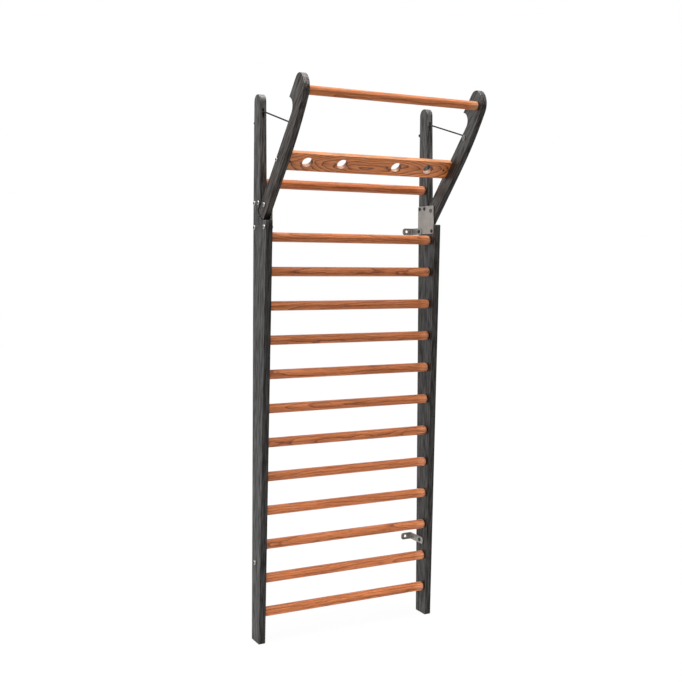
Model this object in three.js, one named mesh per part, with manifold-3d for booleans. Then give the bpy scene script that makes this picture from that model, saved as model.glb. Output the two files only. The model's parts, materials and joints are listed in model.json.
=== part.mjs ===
// Wall bars: tapered uprights, turned rungs and a pull-up frame that folds about two pivots.
// Millimetres, +Z up, +X to the right of someone facing the bars, +Y into the wall.
// The origin is on the wall, at floor level, midway between the uprights.
// "Depth" is measured forwards from the rear edges of the uprights.

import * as THREE from 'three';
import { mergeVertices } from 'three/addons/utils/BufferGeometryUtils.js';
import Module from 'manifold-3d';

const wasm = await Module();
wasm.setup();

// Overall
const INNER_WIDTH = 685; // between the uprights
const WALL_GAP = 42; // from the wall to the rear edges of the uprights

// Uprights
const UPRIGHT_THICKNESS = 26;
const FLOOR_DEPTH = 69;
const NARROW_DEPTH = 68.5; // narrow part, measured at the step
const TOP_DEPTH = 54; // narrow part, at the rounded top
const TOP_INSET = 5; // the rear edge leans forwards by this much at the top
const TOP_ABOVE_PIVOT = 404;
const STEP_LEDGE = 27; // flat part of the step, in front of the seat
const STEP_ABOVE_RUNG = 60; // from the highest wide-part rung to the step

// Rungs and pull-up bar
const WIDE_RUNG_COUNT = 12;
const RUNG_PITCH = 125;
const FIRST_RUNG_HEIGHT = 111;
const TOP_RUNG_RISE = 196; // from the highest wide-part rung to the rung in the narrow part
const RUNG_DIAMETER = 35;
const RUNG_TENON_DIAMETER = 20;
const TENON_LENGTH = 15;
const SHOULDER_ROUND = 7.5;
const LOW_RUNG_SETBACK = 26; // rung axis to front edge, at the lowest rung
const HIGH_RUNG_SETBACK = 40; // rung axis to front edge, at the highest wide-part rung
const TOP_RUNG_SETBACK = 26; // rung axis to front edge, in the narrow part
const BAR_DIAMETER = 32;

// Arms of the pull-up frame, measured from the pivot with the frame folded upright
const TILT = THREE.MathUtils.degToRad(42); // forward lean of the frame as it stands in use
const ARM_THICKNESS = 23;
const ARM_REAR = 27;
const ARM_FRONT = 32.5;
const FOOT_RADIUS = 54;
const HEAD_REAR = 78;
const HEAD_RISE = 108; // from the top of the notch to the top of the head
const HEAD_REAR_ROUND = 32;
const HEAD_FRONT_ROUND = 58;
const HEAD_FRONT_ANGLE = THREE.MathUtils.degToRad(10); // where the front edge runs into the head's round
const NECK_BELOW_NOTCH = 180; // where the front edge starts to bend back
const NECK_HANDLE = 80; // how gently it bends
const BAR_ABOVE_NOTCH = 63;
const BAR_BEHIND_PIVOT = 22;

// Grip board
const BOARD_HEIGHT = 75;
const BOARD_THICKNESS = 18;
const BOARD_ABOVE_PIVOT = 187.5; // middle of the board
const GRIP_HOLE_DIAMETER = 40;
const GRIP_HOLE_RISE = 1; // above the middle of the board
const INNER_HOLE_SPACING = 224;
const OUTER_HOLE_SPACING = 501;
const BARREL_NUT_INSET = 23;
const BARREL_NUT_DIAMETER = 10;
const BARREL_NUT_DEPTH = 13;
const BARREL_NUT_RECESS = 1; // below the front face of the board

// Steel plates and brackets
const PLATE_THICKNESS = 3;
const PLATE_CORNER = 5;
const PLATE_INSET = 2; // from the rear edge of the upright
const PLATE_AHEAD_OF_PIVOT = 18;
const PLATE_ABOVE_PIVOT = 19;
const PLATE_RUNG_GAP = 7; // from the rung below to the foot of the plate
const STRIP_HEIGHT = 26.5;
const STRIP_THICKNESS = 3;
const STRIP_BEND = 5; // outside radius of the bend
const STRIP_CORNER = 9;
const FLANGE_LENGTH = 45;
const WALL_HOLE_DIAMETER = 11.5;
const WALL_HOLE_INSET = 17.5; // from the end of the flange
const UPPER_TAB_AHEAD_OF_BOLT = 18; // the tab's front end, past its bolt
const LOWER_TAB_AHEAD_OF_BOLT = 24;
const UPPER_BRACKET_RISE = 11; // from the foot of the plate to the middle of the strip
const LOWER_BRACKET_DROP = 7; // below the middle of the gap between the second and third rungs

// Fasteners
const BOLT_DIAMETER = 8;
const BOLT_HEAD_DIAMETER = 18;
const BOLT_HEAD_HEIGHT = 4;
const BOLT_HEAD_RIM = 1.8; // straight part of the head's height
const BOLT_CROWN_DIAMETER = 9; // flat top of the head
const SOCKET_WIDTH = 6; // across the corners of the hexagonal sockets
const SOCKET_DEPTH = 2.4;
const NUT_DIAMETER = 14;
const NUT_HEIGHT = 4;
const NUT_RIM = 2.4;
const NUT_CROWN_DIAMETER = 10;
const NUT_CAP = 1.6; // solid end of the nut, past its bore
const REAR_BOLT_DEPTH = 14;
const MIDDLE_BOLT_BEHIND_PIVOT = 46.5;
const FRONT_BOLT_AHEAD_OF_PIVOT = 7.5;
const TOP_BOLT_ABOVE_PIVOT = 9;
const LOWER_BOLT_DEPTH = 29;
const PIVOT_DIAMETER = 10;
const PIVOT_TAIL_DIAMETER = 15;
const PIVOT_TAIL_HEIGHT = 1.5;
const BUSH_WALL = 2.2;
const BOARD_BOLT_DIAMETER = 6;
const BOARD_BOLT_HEAD_DIAMETER = 15;

// Stays
const CABLE_DIAMETER = 5;
const CABLE_BORE_DIAMETER = 7;
const CABLE_BEND = 16; // straight lengths given up on each side of the bend in the slot
const SLOT_HEIGHT = 36;
const SLOT_DEPTH = 14;
const SLOT_ABOVE_PIVOT = 333; // middle of the slot
const CABLE_IN_SLOT = 6; // the cable bends this far above the middle of the slot
const BORE_DROP = 34; // from the bend to the rear end of the bore
const STOP_DIAMETER = 13;
const STOP_LENGTH = 23;
const STOP_RIM = 19;
const STOP_CROWN_DIAMETER = 8;
const ANCHOR_DIAMETER = 24;
const ANCHOR_PROUD = 2;
const ANCHOR_CHAMFER = 1;
const ANCHOR_BEHIND_PIVOT = 9;
const ANCHOR_ABOVE_PIVOT = 340;
const ANCHOR_PAST_CABLE = 4; // how far the anchor goes past the cable into the arm
const CABLE_ABOVE_ANCHOR = 6; // the cable enters the anchor this far above its middle

// Clearances
const SEAT_GAP = 0.3; // between pieces that rest on or sit in each other
const HOLE_CLEARANCE = 0.4; // radial, around bolts and pins
const FOOT_CLEARANCE = 1.2; // between an arm's foot and its seat
const FOLD_CLEARANCE = 1; // between a folded arm and its upright
const NOTCH_CLEARANCE = 6; // between the notch and the round top of the upright
const ARM_SIDE_GAP = 0.5; // between an arm and its hinge plate's seat

// How far a hole's cutting shape runs past the face it opens on
const CUT_SPARE = 1;

// Facets of round pieces
const RUNG_SIDES = 16;
const SMALL_SIDES = 12;
const CURVE_STEPS = 6;
const SHOULDER_STEPS = 2;
const CABLE_SIDES = 6;
const CABLE_STEPS = 20;
const SOCKET_SIDES = 6;

// Places worked out from the sizes above
const innerFace = INNER_WIDTH / 2;
const outerFace = innerFace + UPRIGHT_THICKNESS;
const highRungHeight = FIRST_RUNG_HEIGHT + (WIDE_RUNG_COUNT - 1) * RUNG_PITCH;
const stepHeight = highRungHeight + STEP_ABOVE_RUNG;
const seatRadius = FOOT_RADIUS + FOOT_CLEARANCE;
const pivotHeight = stepHeight + seatRadius;
const topHeight = pivotHeight + TOP_ABOVE_PIVOT;
const topRound = TOP_DEPTH / 2;
const topCentre = new THREE.Vector2(TOP_INSET + topRound, topHeight - topRound);
const narrowFoot = new THREE.Vector2(NARROW_DEPTH, stepHeight);
const narrowHead = new THREE.Vector2(TOP_INSET + TOP_DEPTH, topCentre.y);
const pivotDepth = alongNarrowFront(pivotHeight) + FOLD_CLEARANCE + ARM_REAR;
const pivot = new THREE.Vector2(pivotDepth, pivotHeight);
const stepDepth = pivotDepth + STEP_LEDGE;
const armInnerFace = innerFace + ARM_SIDE_GAP;
const armOuterFace = armInnerFace + ARM_THICKNESS;
const notchRadius = topRound + NOTCH_CLEARANCE;
const notchCentre = new THREE.Vector2(-ARM_REAR - notchRadius, topCentre.y - pivotHeight);
const notchTop = notchCentre.y + notchRadius;
const barCentre = new THREE.Vector2(-BAR_BEHIND_PIVOT, notchTop + BAR_ABOVE_NOTCH);
const boardMiddleDepth = -ARM_REAR + BOARD_THICKNESS / 2;
const plateFoot = highRungHeight + RUNG_DIAMETER / 2 + PLATE_RUNG_GAP;
const upperBracketHeight = plateFoot + UPPER_BRACKET_RISE;
const lowerBracketHeight = FIRST_RUNG_HEIGHT + 1.5 * RUNG_PITCH - LOWER_BRACKET_DROP;
const plateDepth = pivotDepth + PLATE_AHEAD_OF_PIVOT;
const plateTop = pivotHeight + PLATE_ABOVE_PIVOT;
const frontBoltDepth = pivotDepth + FRONT_BOLT_AHEAD_OF_PIVOT;
const bushRadius = PIVOT_DIAMETER / 2 + HOLE_CLEARANCE + BUSH_WALL;
const cableX = innerFace + UPRIGHT_THICKNESS / 2;
const gripHoleHeight = BOARD_ABOVE_PIVOT + GRIP_HOLE_RISE;

// Plate bolts as depth and height: two beside the pivot, two at the foot, the rear one through the bracket
const plateBolts = {
  top_rear: new THREE.Vector2(REAR_BOLT_DEPTH, pivotHeight + TOP_BOLT_ABOVE_PIVOT),
  top_middle: new THREE.Vector2(pivotDepth - MIDDLE_BOLT_BEHIND_PIVOT, pivotHeight + TOP_BOLT_ABOVE_PIVOT),
  foot_rear: new THREE.Vector2(REAR_BOLT_DEPTH, upperBracketHeight),
  foot_front: new THREE.Vector2(frontBoltDepth, upperBracketHeight),
};

const rungs = [];
for (let i = 0; i < WIDE_RUNG_COUNT; i += 1) {
  const share = i / (WIDE_RUNG_COUNT - 1);
  const height = FIRST_RUNG_HEIGHT + i * RUNG_PITCH;
  const setback = THREE.MathUtils.lerp(LOW_RUNG_SETBACK, HIGH_RUNG_SETBACK, share);
  rungs.push(new THREE.Vector2(alongWideFront(height) - setback, height));
}
const topRungHeight = highRungHeight + TOP_RUNG_RISE;
rungs.push(new THREE.Vector2(alongNarrowFront(topRungHeight) - TOP_RUNG_SETBACK, topRungHeight));

// Materials
const stainedAsh = material(0x3b3b3b, 0.75, 0);
const rungWood = material(0xb5623a, 0.55, 0);
const boardWood = material(0xb87038, 0.55, 0);
const plateSteel = material(0x9a9790, 0.4, 0.9);
const stripSteel = material(0x8c8a84, 0.4, 0.9);
const boltSteel = material(0xc4c4c4, 0.3, 1);
const darkSteel = material(0x2b2b2b, 0.5, 0.8);
const cableSteel = material(0x6a6a6a, 0.45, 0.9);
const brass = material(0xa88a4a, 0.4, 0.9);

// Front edges of the two parts of an upright, as depth at a height
function alongWideFront(height) {
  return THREE.MathUtils.mapLinear(height, 0, stepHeight, FLOOR_DEPTH, stepDepth);
}

function alongNarrowFront(height) {
  return THREE.MathUtils.mapLinear(height, narrowFoot.y, narrowHead.y, narrowFoot.x, narrowHead.x);
}

function alongRear(height) {
  return THREE.MathUtils.mapLinear(height, stepHeight, topCentre.y, 0, TOP_INSET);
}

// A point of the leaning pull-up frame, as depth and height
function leaning(depth, height) {
  return new THREE.Vector2(depth, height).rotateAround(new THREE.Vector2(), -TILT).add(pivot);
}

// A point in space from its place across, its depth and its height
function place(x, depth, height) {
  return new THREE.Vector3(x, -WALL_GAP - depth, height);
}

function material(color, roughness, metalness) {
  return new THREE.MeshStandardMaterial({ color, roughness, metalness });
}

// Closed indexed geometry with shared corners and no collapsed faces
function closed(geometry) {
  const bare = geometry.index ? geometry.toNonIndexed() : geometry.clone();
  bare.deleteAttribute('normal');
  bare.deleteAttribute('uv');
  const merged = mergeVertices(bare);
  const corners = [];
  for (let i = 0; i < merged.index.count; i += 3) {
    const [a, b, c] = [0, 1, 2].map((k) => merged.index.getX(i + k));
    if (a !== b && b !== c && c !== a) corners.push(a, b, c);
  }
  merged.setIndex(corners);
  return merged;
}

function solidOf(geometry) {
  const shape = closed(geometry);
  const vertProperties = new Float32Array(shape.attributes.position.array);
  const triVerts = new Uint32Array(shape.index.array);
  return new wasm.Manifold(new wasm.Mesh({ numProp: 3, vertProperties, triVerts }));
}

function geometryOf(solid) {
  const { vertProperties, triVerts } = solid.getMesh();
  const geometry = new THREE.BufferGeometry();
  geometry.setAttribute('position', new THREE.Float32BufferAttribute(vertProperties, 3));
  geometry.setIndex(Array.from(triVerts));
  return geometry;
}

function cut(geometry, tools) {
  let solid = solidOf(geometry);
  for (const tool of tools) solid = solid.subtract(solidOf(tool));
  return geometryOf(solid);
}

function common(geometry, tools) {
  let solid = solidOf(geometry);
  for (const tool of tools) solid = solid.intersect(solidOf(tool));
  return geometryOf(solid);
}

// A flat outline drawn as depth and height, thickened across X between two places
function sideways(outline, fromX, toX) {
  const thickness = Math.abs(toX - fromX);
  const options = { depth: thickness, bevelEnabled: false, curveSegments: CURVE_STEPS };
  const geometry = new THREE.ExtrudeGeometry(outline, options);
  const turn = new THREE.Matrix4().makeBasis(
    new THREE.Vector3(0, -1, 0),
    new THREE.Vector3(0, 0, 1),
    new THREE.Vector3(-1, 0, 0),
  );
  return geometry.applyMatrix4(turn).translate(Math.max(fromX, toX), 0, 0);
}

// A flat outline drawn as X and height, thickened along Y between two places
function facing(outline, fromY, toY) {
  const options = { depth: Math.abs(toY - fromY), bevelEnabled: false, curveSegments: CURVE_STEPS };
  const geometry = new THREE.ExtrudeGeometry(outline, options).rotateX(Math.PI / 2);
  return geometry.translate(0, Math.max(fromY, toY), 0);
}

// A turned piece about the X axis from [radius, x] pairs that start and end on the axis
function turned(profile, sides) {
  const points = profile.map(([radius, x]) => new THREE.Vector2(radius, x));
  return new THREE.LatheGeometry(points, sides).rotateZ(-Math.PI / 2);
}

function rod(radius, fromX, toX, sides) {
  const [low, high] = [Math.min(fromX, toX), Math.max(fromX, toX)];
  return turned([[0, low], [radius, low], [radius, high], [0, high]], sides);
}

function rodBetween(radius, start, end, sides) {
  const run = end.clone().sub(start);
  const turn = new THREE.Quaternion().setFromUnitVectors(new THREE.Vector3(1, 0, 0), run.clone().normalize());
  return rod(radius, 0, run.length(), sides).applyQuaternion(turn).translate(start.x, start.y, start.z);
}

// A round hole across X at a depth and height
function crossHole(diameter, spot, fromX, toX, sides = SMALL_SIDES) {
  const where = place(0, spot.x, spot.y);
  return rod(diameter / 2, fromX, toX, sides).translate(where.x, where.y, where.z);
}

function roundedRectangle(left, bottom, right, top, radius) {
  const outline = new THREE.Shape();
  outline.moveTo(left + radius, bottom);
  outline.lineTo(right - radius, bottom);
  outline.absarc(right - radius, bottom + radius, radius, -Math.PI / 2, 0);
  outline.lineTo(right, top - radius);
  outline.absarc(right - radius, top - radius, radius, 0, Math.PI / 2);
  outline.lineTo(left + radius, top);
  outline.absarc(left + radius, top - radius, radius, Math.PI / 2, Math.PI);
  outline.lineTo(left, bottom + radius);
  outline.absarc(left + radius, bottom + radius, radius, Math.PI, 1.5 * Math.PI);
  return outline;
}

function mesh(name, geometry, finish, at = new THREE.Vector3()) {
  const piece = new THREE.Mesh(closed(geometry), finish);
  piece.name = name;
  piece.position.copy(at);
  return piece;
}

// Outline of an upright, drawn as depth and height
function uprightOutline() {
  const seatLine = -(ARM_REAR + FOOT_CLEARANCE);
  const seatFoot = leaning(seatLine, -Math.sqrt(seatRadius ** 2 - seatLine ** 2));
  const seatRun = new THREE.Vector2(Math.sin(TILT), Math.cos(TILT));
  const frontSlope = (narrowHead.x - narrowFoot.x) / (narrowHead.y - narrowFoot.y);
  const toFront = alongNarrowFront(seatFoot.y) - seatFoot.x;
  const seatHead = seatRun.multiplyScalar(toFront / (seatRun.x - frontSlope * seatRun.y)).add(seatFoot);
  const seatEnd = Math.atan2(seatFoot.y - pivotHeight, seatFoot.x - pivotDepth);
  const outline = new THREE.Shape();
  outline.moveTo(0, 0);
  outline.lineTo(FLOOR_DEPTH, 0);
  outline.lineTo(stepDepth, stepHeight);
  outline.lineTo(pivotDepth, stepHeight);
  outline.absarc(pivotDepth, pivotHeight, seatRadius, -Math.PI / 2, seatEnd, true);
  outline.lineTo(seatHead.x, seatHead.y);
  outline.lineTo(narrowHead.x, narrowHead.y);
  outline.absarc(topCentre.x, topCentre.y, topRound, 0, Math.PI);
  outline.lineTo(0, stepHeight);
  return outline;
}

// Stay cable route on one side: out of the stop, up the slanted bore, over the bend, down to the anchor
function cableRoute(side) {
  const bendHeight = pivotHeight + SLOT_ABOVE_PIVOT + CABLE_IN_SLOT;
  const tailHeight = bendHeight - BORE_DROP;
  const anchor = leaning(-ANCHOR_BEHIND_PIVOT, ANCHOR_ABOVE_PIVOT);
  const aim = leaning(-ANCHOR_BEHIND_PIVOT, ANCHOR_ABOVE_PIVOT + CABLE_ABOVE_ANCHOR);
  const tail = place(side * cableX, alongRear(tailHeight), tailHeight);
  const bend = place(side * cableX, alongNarrowFront(bendHeight), bendHeight);
  const head = place(side * cableX, aim.x, aim.y);
  const toTail = tail.clone().sub(bend).normalize();
  const toHead = head.clone().sub(bend).normalize();
  const offset = head.clone().sub(place(side * cableX, anchor.x, anchor.y));
  const ahead = offset.dot(toHead);
  const miss = Math.sqrt(offset.lengthSq() - ahead ** 2);
  const nearMiss = Math.max(miss - CABLE_DIAMETER / 2, 0);
  const reach = ahead + Math.sqrt((ANCHOR_DIAMETER / 2) ** 2 - nearMiss ** 2);
  const end = head.clone().addScaledVector(toHead, -reach - SEAT_GAP);
  return { tail, bend, head, end, toTail, toHead };
}

function upright(side, name) {
  const body = sideways(uprightOutline(), side * innerFace, side * outerFace).translate(0, -WALL_GAP, 0);
  const past = side * (outerFace + CUT_SPARE);
  const before = side * (innerFace - CUT_SPARE);
  const tools = rungs.map((spot) => {
    const holeEnd = side * (innerFace + TENON_LENGTH + SEAT_GAP);
    return crossHole(RUNG_TENON_DIAMETER + 2 * SEAT_GAP, spot, before, holeEnd, RUNG_SIDES);
  });
  const boltHole = BOLT_DIAMETER + 2 * HOLE_CLEARANCE;
  for (const spot of Object.values(plateBolts)) tools.push(crossHole(boltHole, spot, before, past));
  tools.push(crossHole(boltHole, new THREE.Vector2(LOWER_BOLT_DEPTH, lowerBracketHeight), before, past));

  const { tail, bend, toTail } = cableRoute(side);
  const slotMiddle = pivotHeight + SLOT_ABOVE_PIVOT;
  const slot = new THREE.BoxGeometry(CABLE_BORE_DIAMETER, 2 * SLOT_DEPTH, SLOT_HEIGHT);
  const mouth = place(side * cableX, alongNarrowFront(slotMiddle), slotMiddle);
  tools.push(slot.translate(mouth.x, mouth.y, mouth.z));
  const boreEnd = tail.clone().addScaledVector(toTail, CABLE_BORE_DIAMETER);
  tools.push(rodBetween(CABLE_BORE_DIAMETER / 2, bend, boreEnd, SMALL_SIDES));
  return mesh(name, cut(body, tools), stainedAsh);
}

// A turned bar with rounded shoulders and a tenon at each end
function tenonedBar(name, diameter, shoulderX, finish, at) {
  const radius = diameter / 2;
  const tenon = RUNG_TENON_DIAMETER / 2;
  const round = Math.min(SHOULDER_ROUND, radius - tenon);
  const tip = shoulderX + TENON_LENGTH;
  const half = [[0, tip], [tenon, tip], [tenon, shoulderX - SEAT_GAP]];
  for (let i = 0; i <= SHOULDER_STEPS; i += 1) {
    const angle = (i / SHOULDER_STEPS) * Math.PI / 2;
    const reach = radius - round + round * Math.sin(angle);
    half.push([reach, shoulderX - SEAT_GAP - round * (1 - Math.cos(angle))]);
  }
  const distinct = half.filter(([r, x], i) => i === 0 || r !== half[i - 1][0] || x !== half[i - 1][1]);
  const profile = [...distinct.map(([r, x]) => [r, -x]), ...distinct.reverse()];
  return mesh(name, turned(profile, RUNG_SIDES), finish, at);
}

function rung(index) {
  const spot = rungs[index];
  const number = String(index + 1).padStart(2, '0');
  return tenonedBar(`rung_${number}`, RUNG_DIAMETER, innerFace, rungWood, place(0, spot.x, spot.y));
}

// Hinge plate on the inner face of an upright
function hingePlate(side, name) {
  const outline = roundedRectangle(PLATE_INSET, plateFoot, plateDepth, plateTop, PLATE_CORNER);
  const nearFace = side * (innerFace - SEAT_GAP);
  const farFace = side * (innerFace - SEAT_GAP - PLATE_THICKNESS);
  const body = sideways(outline, nearFace, farFace).translate(0, -WALL_GAP, 0);
  const boltHole = BOLT_DIAMETER + 2 * HOLE_CLEARANCE;
  const [past, before] = [nearFace + side * CUT_SPARE, farFace - side * CUT_SPARE];
  const tools = Object.values(plateBolts).map((spot) => crossHole(boltHole, spot, before, past));
  tools.push(crossHole(PIVOT_DIAMETER + 2 * HOLE_CLEARANCE, pivot, before, past));
  return mesh(name, cut(body, tools), plateSteel);
}

// Bent strip: a tab along an upright and a flange, turned inwards, against the wall
function wallBracket(side, name, tabX, height, boltDepth, tabEnd) {
  const [bottom, top] = [height - STRIP_HEIGHT / 2, height + STRIP_HEIGHT / 2];
  const frontY = place(0, tabEnd, 0).y;
  const inside = STRIP_BEND - STRIP_THICKNESS;
  const strip = new THREE.Shape();
  strip.moveTo(0, frontY);
  strip.lineTo(0, -STRIP_BEND);
  strip.absarc(-STRIP_BEND, -STRIP_BEND, STRIP_BEND, 0, Math.PI / 2);
  strip.lineTo(-FLANGE_LENGTH, 0);
  strip.lineTo(-FLANGE_LENGTH, -STRIP_THICKNESS);
  strip.lineTo(-STRIP_BEND, -STRIP_THICKNESS);
  strip.absarc(-STRIP_BEND, -STRIP_BEND, inside, Math.PI / 2, 0, true);
  strip.lineTo(-STRIP_THICKNESS, frontY);
  const options = { depth: STRIP_HEIGHT, bevelEnabled: false, curveSegments: CURVE_STEPS / 2 };
  const bent = new THREE.ExtrudeGeometry(strip, options).translate(0, 0, bottom);
  if (side < 0) bent.rotateY(Math.PI).translate(0, 0, 2 * height);
  bent.translate(side * tabX, 0, 0);

  const spare = STRIP_CORNER + CUT_SPARE;
  const flangeEnd = side * (tabX - FLANGE_LENGTH);
  const [flangeLow, flangeHigh] = [flangeEnd, side * (tabX + spare)].sort((a, b) => a - b);
  const flangeOutline = roundedRectangle(flangeLow, bottom, flangeHigh, top, STRIP_CORNER);
  const flangeShape = facing(flangeOutline, CUT_SPARE, frontY - CUT_SPARE);
  const tabOutline = roundedRectangle(-WALL_GAP - spare, bottom, tabEnd, top, STRIP_CORNER);
  const tabFrom = flangeEnd - side * CUT_SPARE;
  const tabTo = side * (tabX + CUT_SPARE);
  const tabShape = sideways(tabOutline, tabFrom, tabTo).translate(0, -WALL_GAP, 0);
  const trimmed = common(bent, [flangeShape, tabShape]);

  const holeX = flangeEnd + side * WALL_HOLE_INSET;
  const holeStart = new THREE.Vector3(holeX, CUT_SPARE, height);
  const holeEnd = new THREE.Vector3(holeX, -STRIP_THICKNESS - CUT_SPARE, height);
  const tools = [rodBetween(WALL_HOLE_DIAMETER / 2, holeStart, holeEnd, SMALL_SIDES)];
  const boltHole = BOLT_DIAMETER + 2 * HOLE_CLEARANCE;
  const boltSpot = new THREE.Vector2(boltDepth, height);
  tools.push(crossHole(boltHole, boltSpot, tabTo, side * (tabX - STRIP_THICKNESS - CUT_SPARE)));
  return mesh(name, cut(trimmed, tools), stripSteel);
}

// Bolt with a button head, a hexagonal socket and a plain shank; the head rests on headX, facing outwards
function bolt(side, name, spot, diameter, headDiameter, headX, tipX, finish) {
  const radius = headDiameter / 2;
  const seat = headX + SEAT_GAP;
  const crown = seat + BOLT_HEAD_HEIGHT;
  const profile = [
    [0, tipX],
    [diameter / 2, tipX],
    [diameter / 2, seat],
    [radius, seat],
    [radius, seat + BOLT_HEAD_RIM],
    [BOLT_CROWN_DIAMETER / 2, crown],
    [0, crown],
  ];
  const socket = rod(SOCKET_WIDTH / 2, crown - SOCKET_DEPTH, crown + CUT_SPARE, SOCKET_SIDES);
  const geometry = cut(turned(profile, SMALL_SIDES), [socket]);
  if (side < 0) geometry.rotateZ(Math.PI);
  return mesh(name, geometry, finish, place(0, spot.x, spot.y));
}

// Low cap nut against a face at seatX, with a blind bore for the bolt's tip
function capNut(side, name, spot, seatX) {
  const radius = NUT_DIAMETER / 2;
  const bore = BOLT_DIAMETER / 2 + SEAT_GAP;
  const seat = seatX - SEAT_GAP;
  const boreEnd = seat - NUT_HEIGHT + NUT_CAP;
  const crown = seat - NUT_HEIGHT;
  const profile = [
    [0, crown],
    [NUT_CROWN_DIAMETER / 2, crown],
    [radius, seat - NUT_RIM],
    [radius, seat],
    [bore, seat],
    [bore, boreEnd],
    [0, boreEnd],
  ];
  const geometry = turned(profile, SMALL_SIDES);
  if (side < 0) geometry.rotateZ(Math.PI);
  return mesh(name, geometry, darkSteel, place(0, spot.x, spot.y));
}

// Bolts and nuts that hold the hinge plate and the brackets of one side
function fixedFasteners(side, sideName) {
  const platesFace = innerFace - SEAT_GAP - PLATE_THICKNESS;
  const bracketFace = platesFace - SEAT_GAP - STRIP_THICKNESS;
  const intoNut = NUT_HEIGHT - NUT_CAP - SEAT_GAP;
  const pieces = [];
  const add = (label, spot, face) => {
    const tip = face - intoNut;
    const sizes = [BOLT_DIAMETER, BOLT_HEAD_DIAMETER];
    pieces.push(bolt(side, `${label}_bolt_${sideName}`, spot, ...sizes, outerFace, tip, boltSteel));
    pieces.push(capNut(side, `${label}_nut_${sideName}`, spot, face));
  };
  add('plate_top_rear', plateBolts.top_rear, platesFace);
  add('plate_top_middle', plateBolts.top_middle, platesFace);
  add('plate_foot_rear', plateBolts.foot_rear, bracketFace);
  add('plate_foot_front', plateBolts.foot_front, platesFace);
  const lowerSpot = new THREE.Vector2(LOWER_BOLT_DEPTH, lowerBracketHeight);
  add('lower_bracket', lowerSpot, innerFace - SEAT_GAP - STRIP_THICKNESS);
  return pieces;
}

// Pivot rivet through an arm's bush and the hinge plate, with a button head outside and a flat tail inside
function pivotRivet(side, name) {
  const seat = armOuterFace + SEAT_GAP;
  const crown = seat + BOLT_HEAD_HEIGHT;
  const tail = innerFace - 2 * SEAT_GAP - PLATE_THICKNESS;
  const radius = BOLT_HEAD_DIAMETER / 2;
  const profile = [
    [0, tail - PIVOT_TAIL_HEIGHT],
    [PIVOT_TAIL_DIAMETER / 2, tail - PIVOT_TAIL_HEIGHT],
    [PIVOT_TAIL_DIAMETER / 2, tail],
    [PIVOT_DIAMETER / 2, tail],
    [PIVOT_DIAMETER / 2, seat],
    [radius, seat],
    [radius, seat + BOLT_HEAD_RIM],
    [BOLT_CROWN_DIAMETER / 2, crown],
    [0, crown],
  ];
  const geometry = turned(profile, SMALL_SIDES);
  if (side < 0) geometry.rotateZ(Math.PI);
  return mesh(name, geometry, boltSteel, place(0, pivotDepth, pivotHeight));
}

// Ferrule at the rear end of a stay cable, a dome against the rear edge of the upright
function stayStop(side, name) {
  const radius = STOP_DIAMETER / 2;
  const profile = [
    [0, SEAT_GAP],
    [radius, SEAT_GAP],
    [radius, STOP_RIM],
    [STOP_CROWN_DIAMETER / 2, STOP_LENGTH],
    [0, STOP_LENGTH],
  ];
  const lean = Math.atan2(TOP_INSET, topCentre.y - stepHeight);
  const geometry = turned(profile, SMALL_SIDES).rotateZ(Math.PI / 2).rotateX(lean);
  return mesh(name, geometry, darkSteel, cableRoute(side).tail);
}

function stayCable(side, name) {
  const { tail, bend, end, toTail, toHead } = cableRoute(side);
  const bendStart = bend.clone().addScaledVector(toTail, CABLE_BEND);
  const bendEnd = bend.clone().addScaledVector(toHead, CABLE_BEND);
  const endRun = Math.abs(toTail.z / toTail.y) * CABLE_DIAMETER / 2;
  const start = tail.clone().addScaledVector(toTail, -endRun);
  const route = new THREE.CurvePath();
  route.add(new THREE.LineCurve3(start, bendStart));
  route.add(new THREE.QuadraticBezierCurve3(bendStart, bend, bendEnd));
  route.add(new THREE.LineCurve3(bendEnd, end));
  const section = new THREE.Shape();
  for (let i = 0; i < CABLE_SIDES; i += 1) {
    const angle = (i / CABLE_SIDES) * 2 * Math.PI;
    const corner = new THREE.Vector2(Math.cos(angle), Math.sin(angle)).multiplyScalar(CABLE_DIAMETER / 2);
    if (i === 0) section.moveTo(corner.x, corner.y);
    else section.lineTo(corner.x, corner.y);
  }
  const options = { steps: CABLE_STEPS, extrudePath: route, bevelEnabled: false };
  return mesh(name, new THREE.ExtrudeGeometry(section, options), cableSteel);
}

// The pieces below belong to the pull-up frame: upright, with the pivot as their origin

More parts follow.
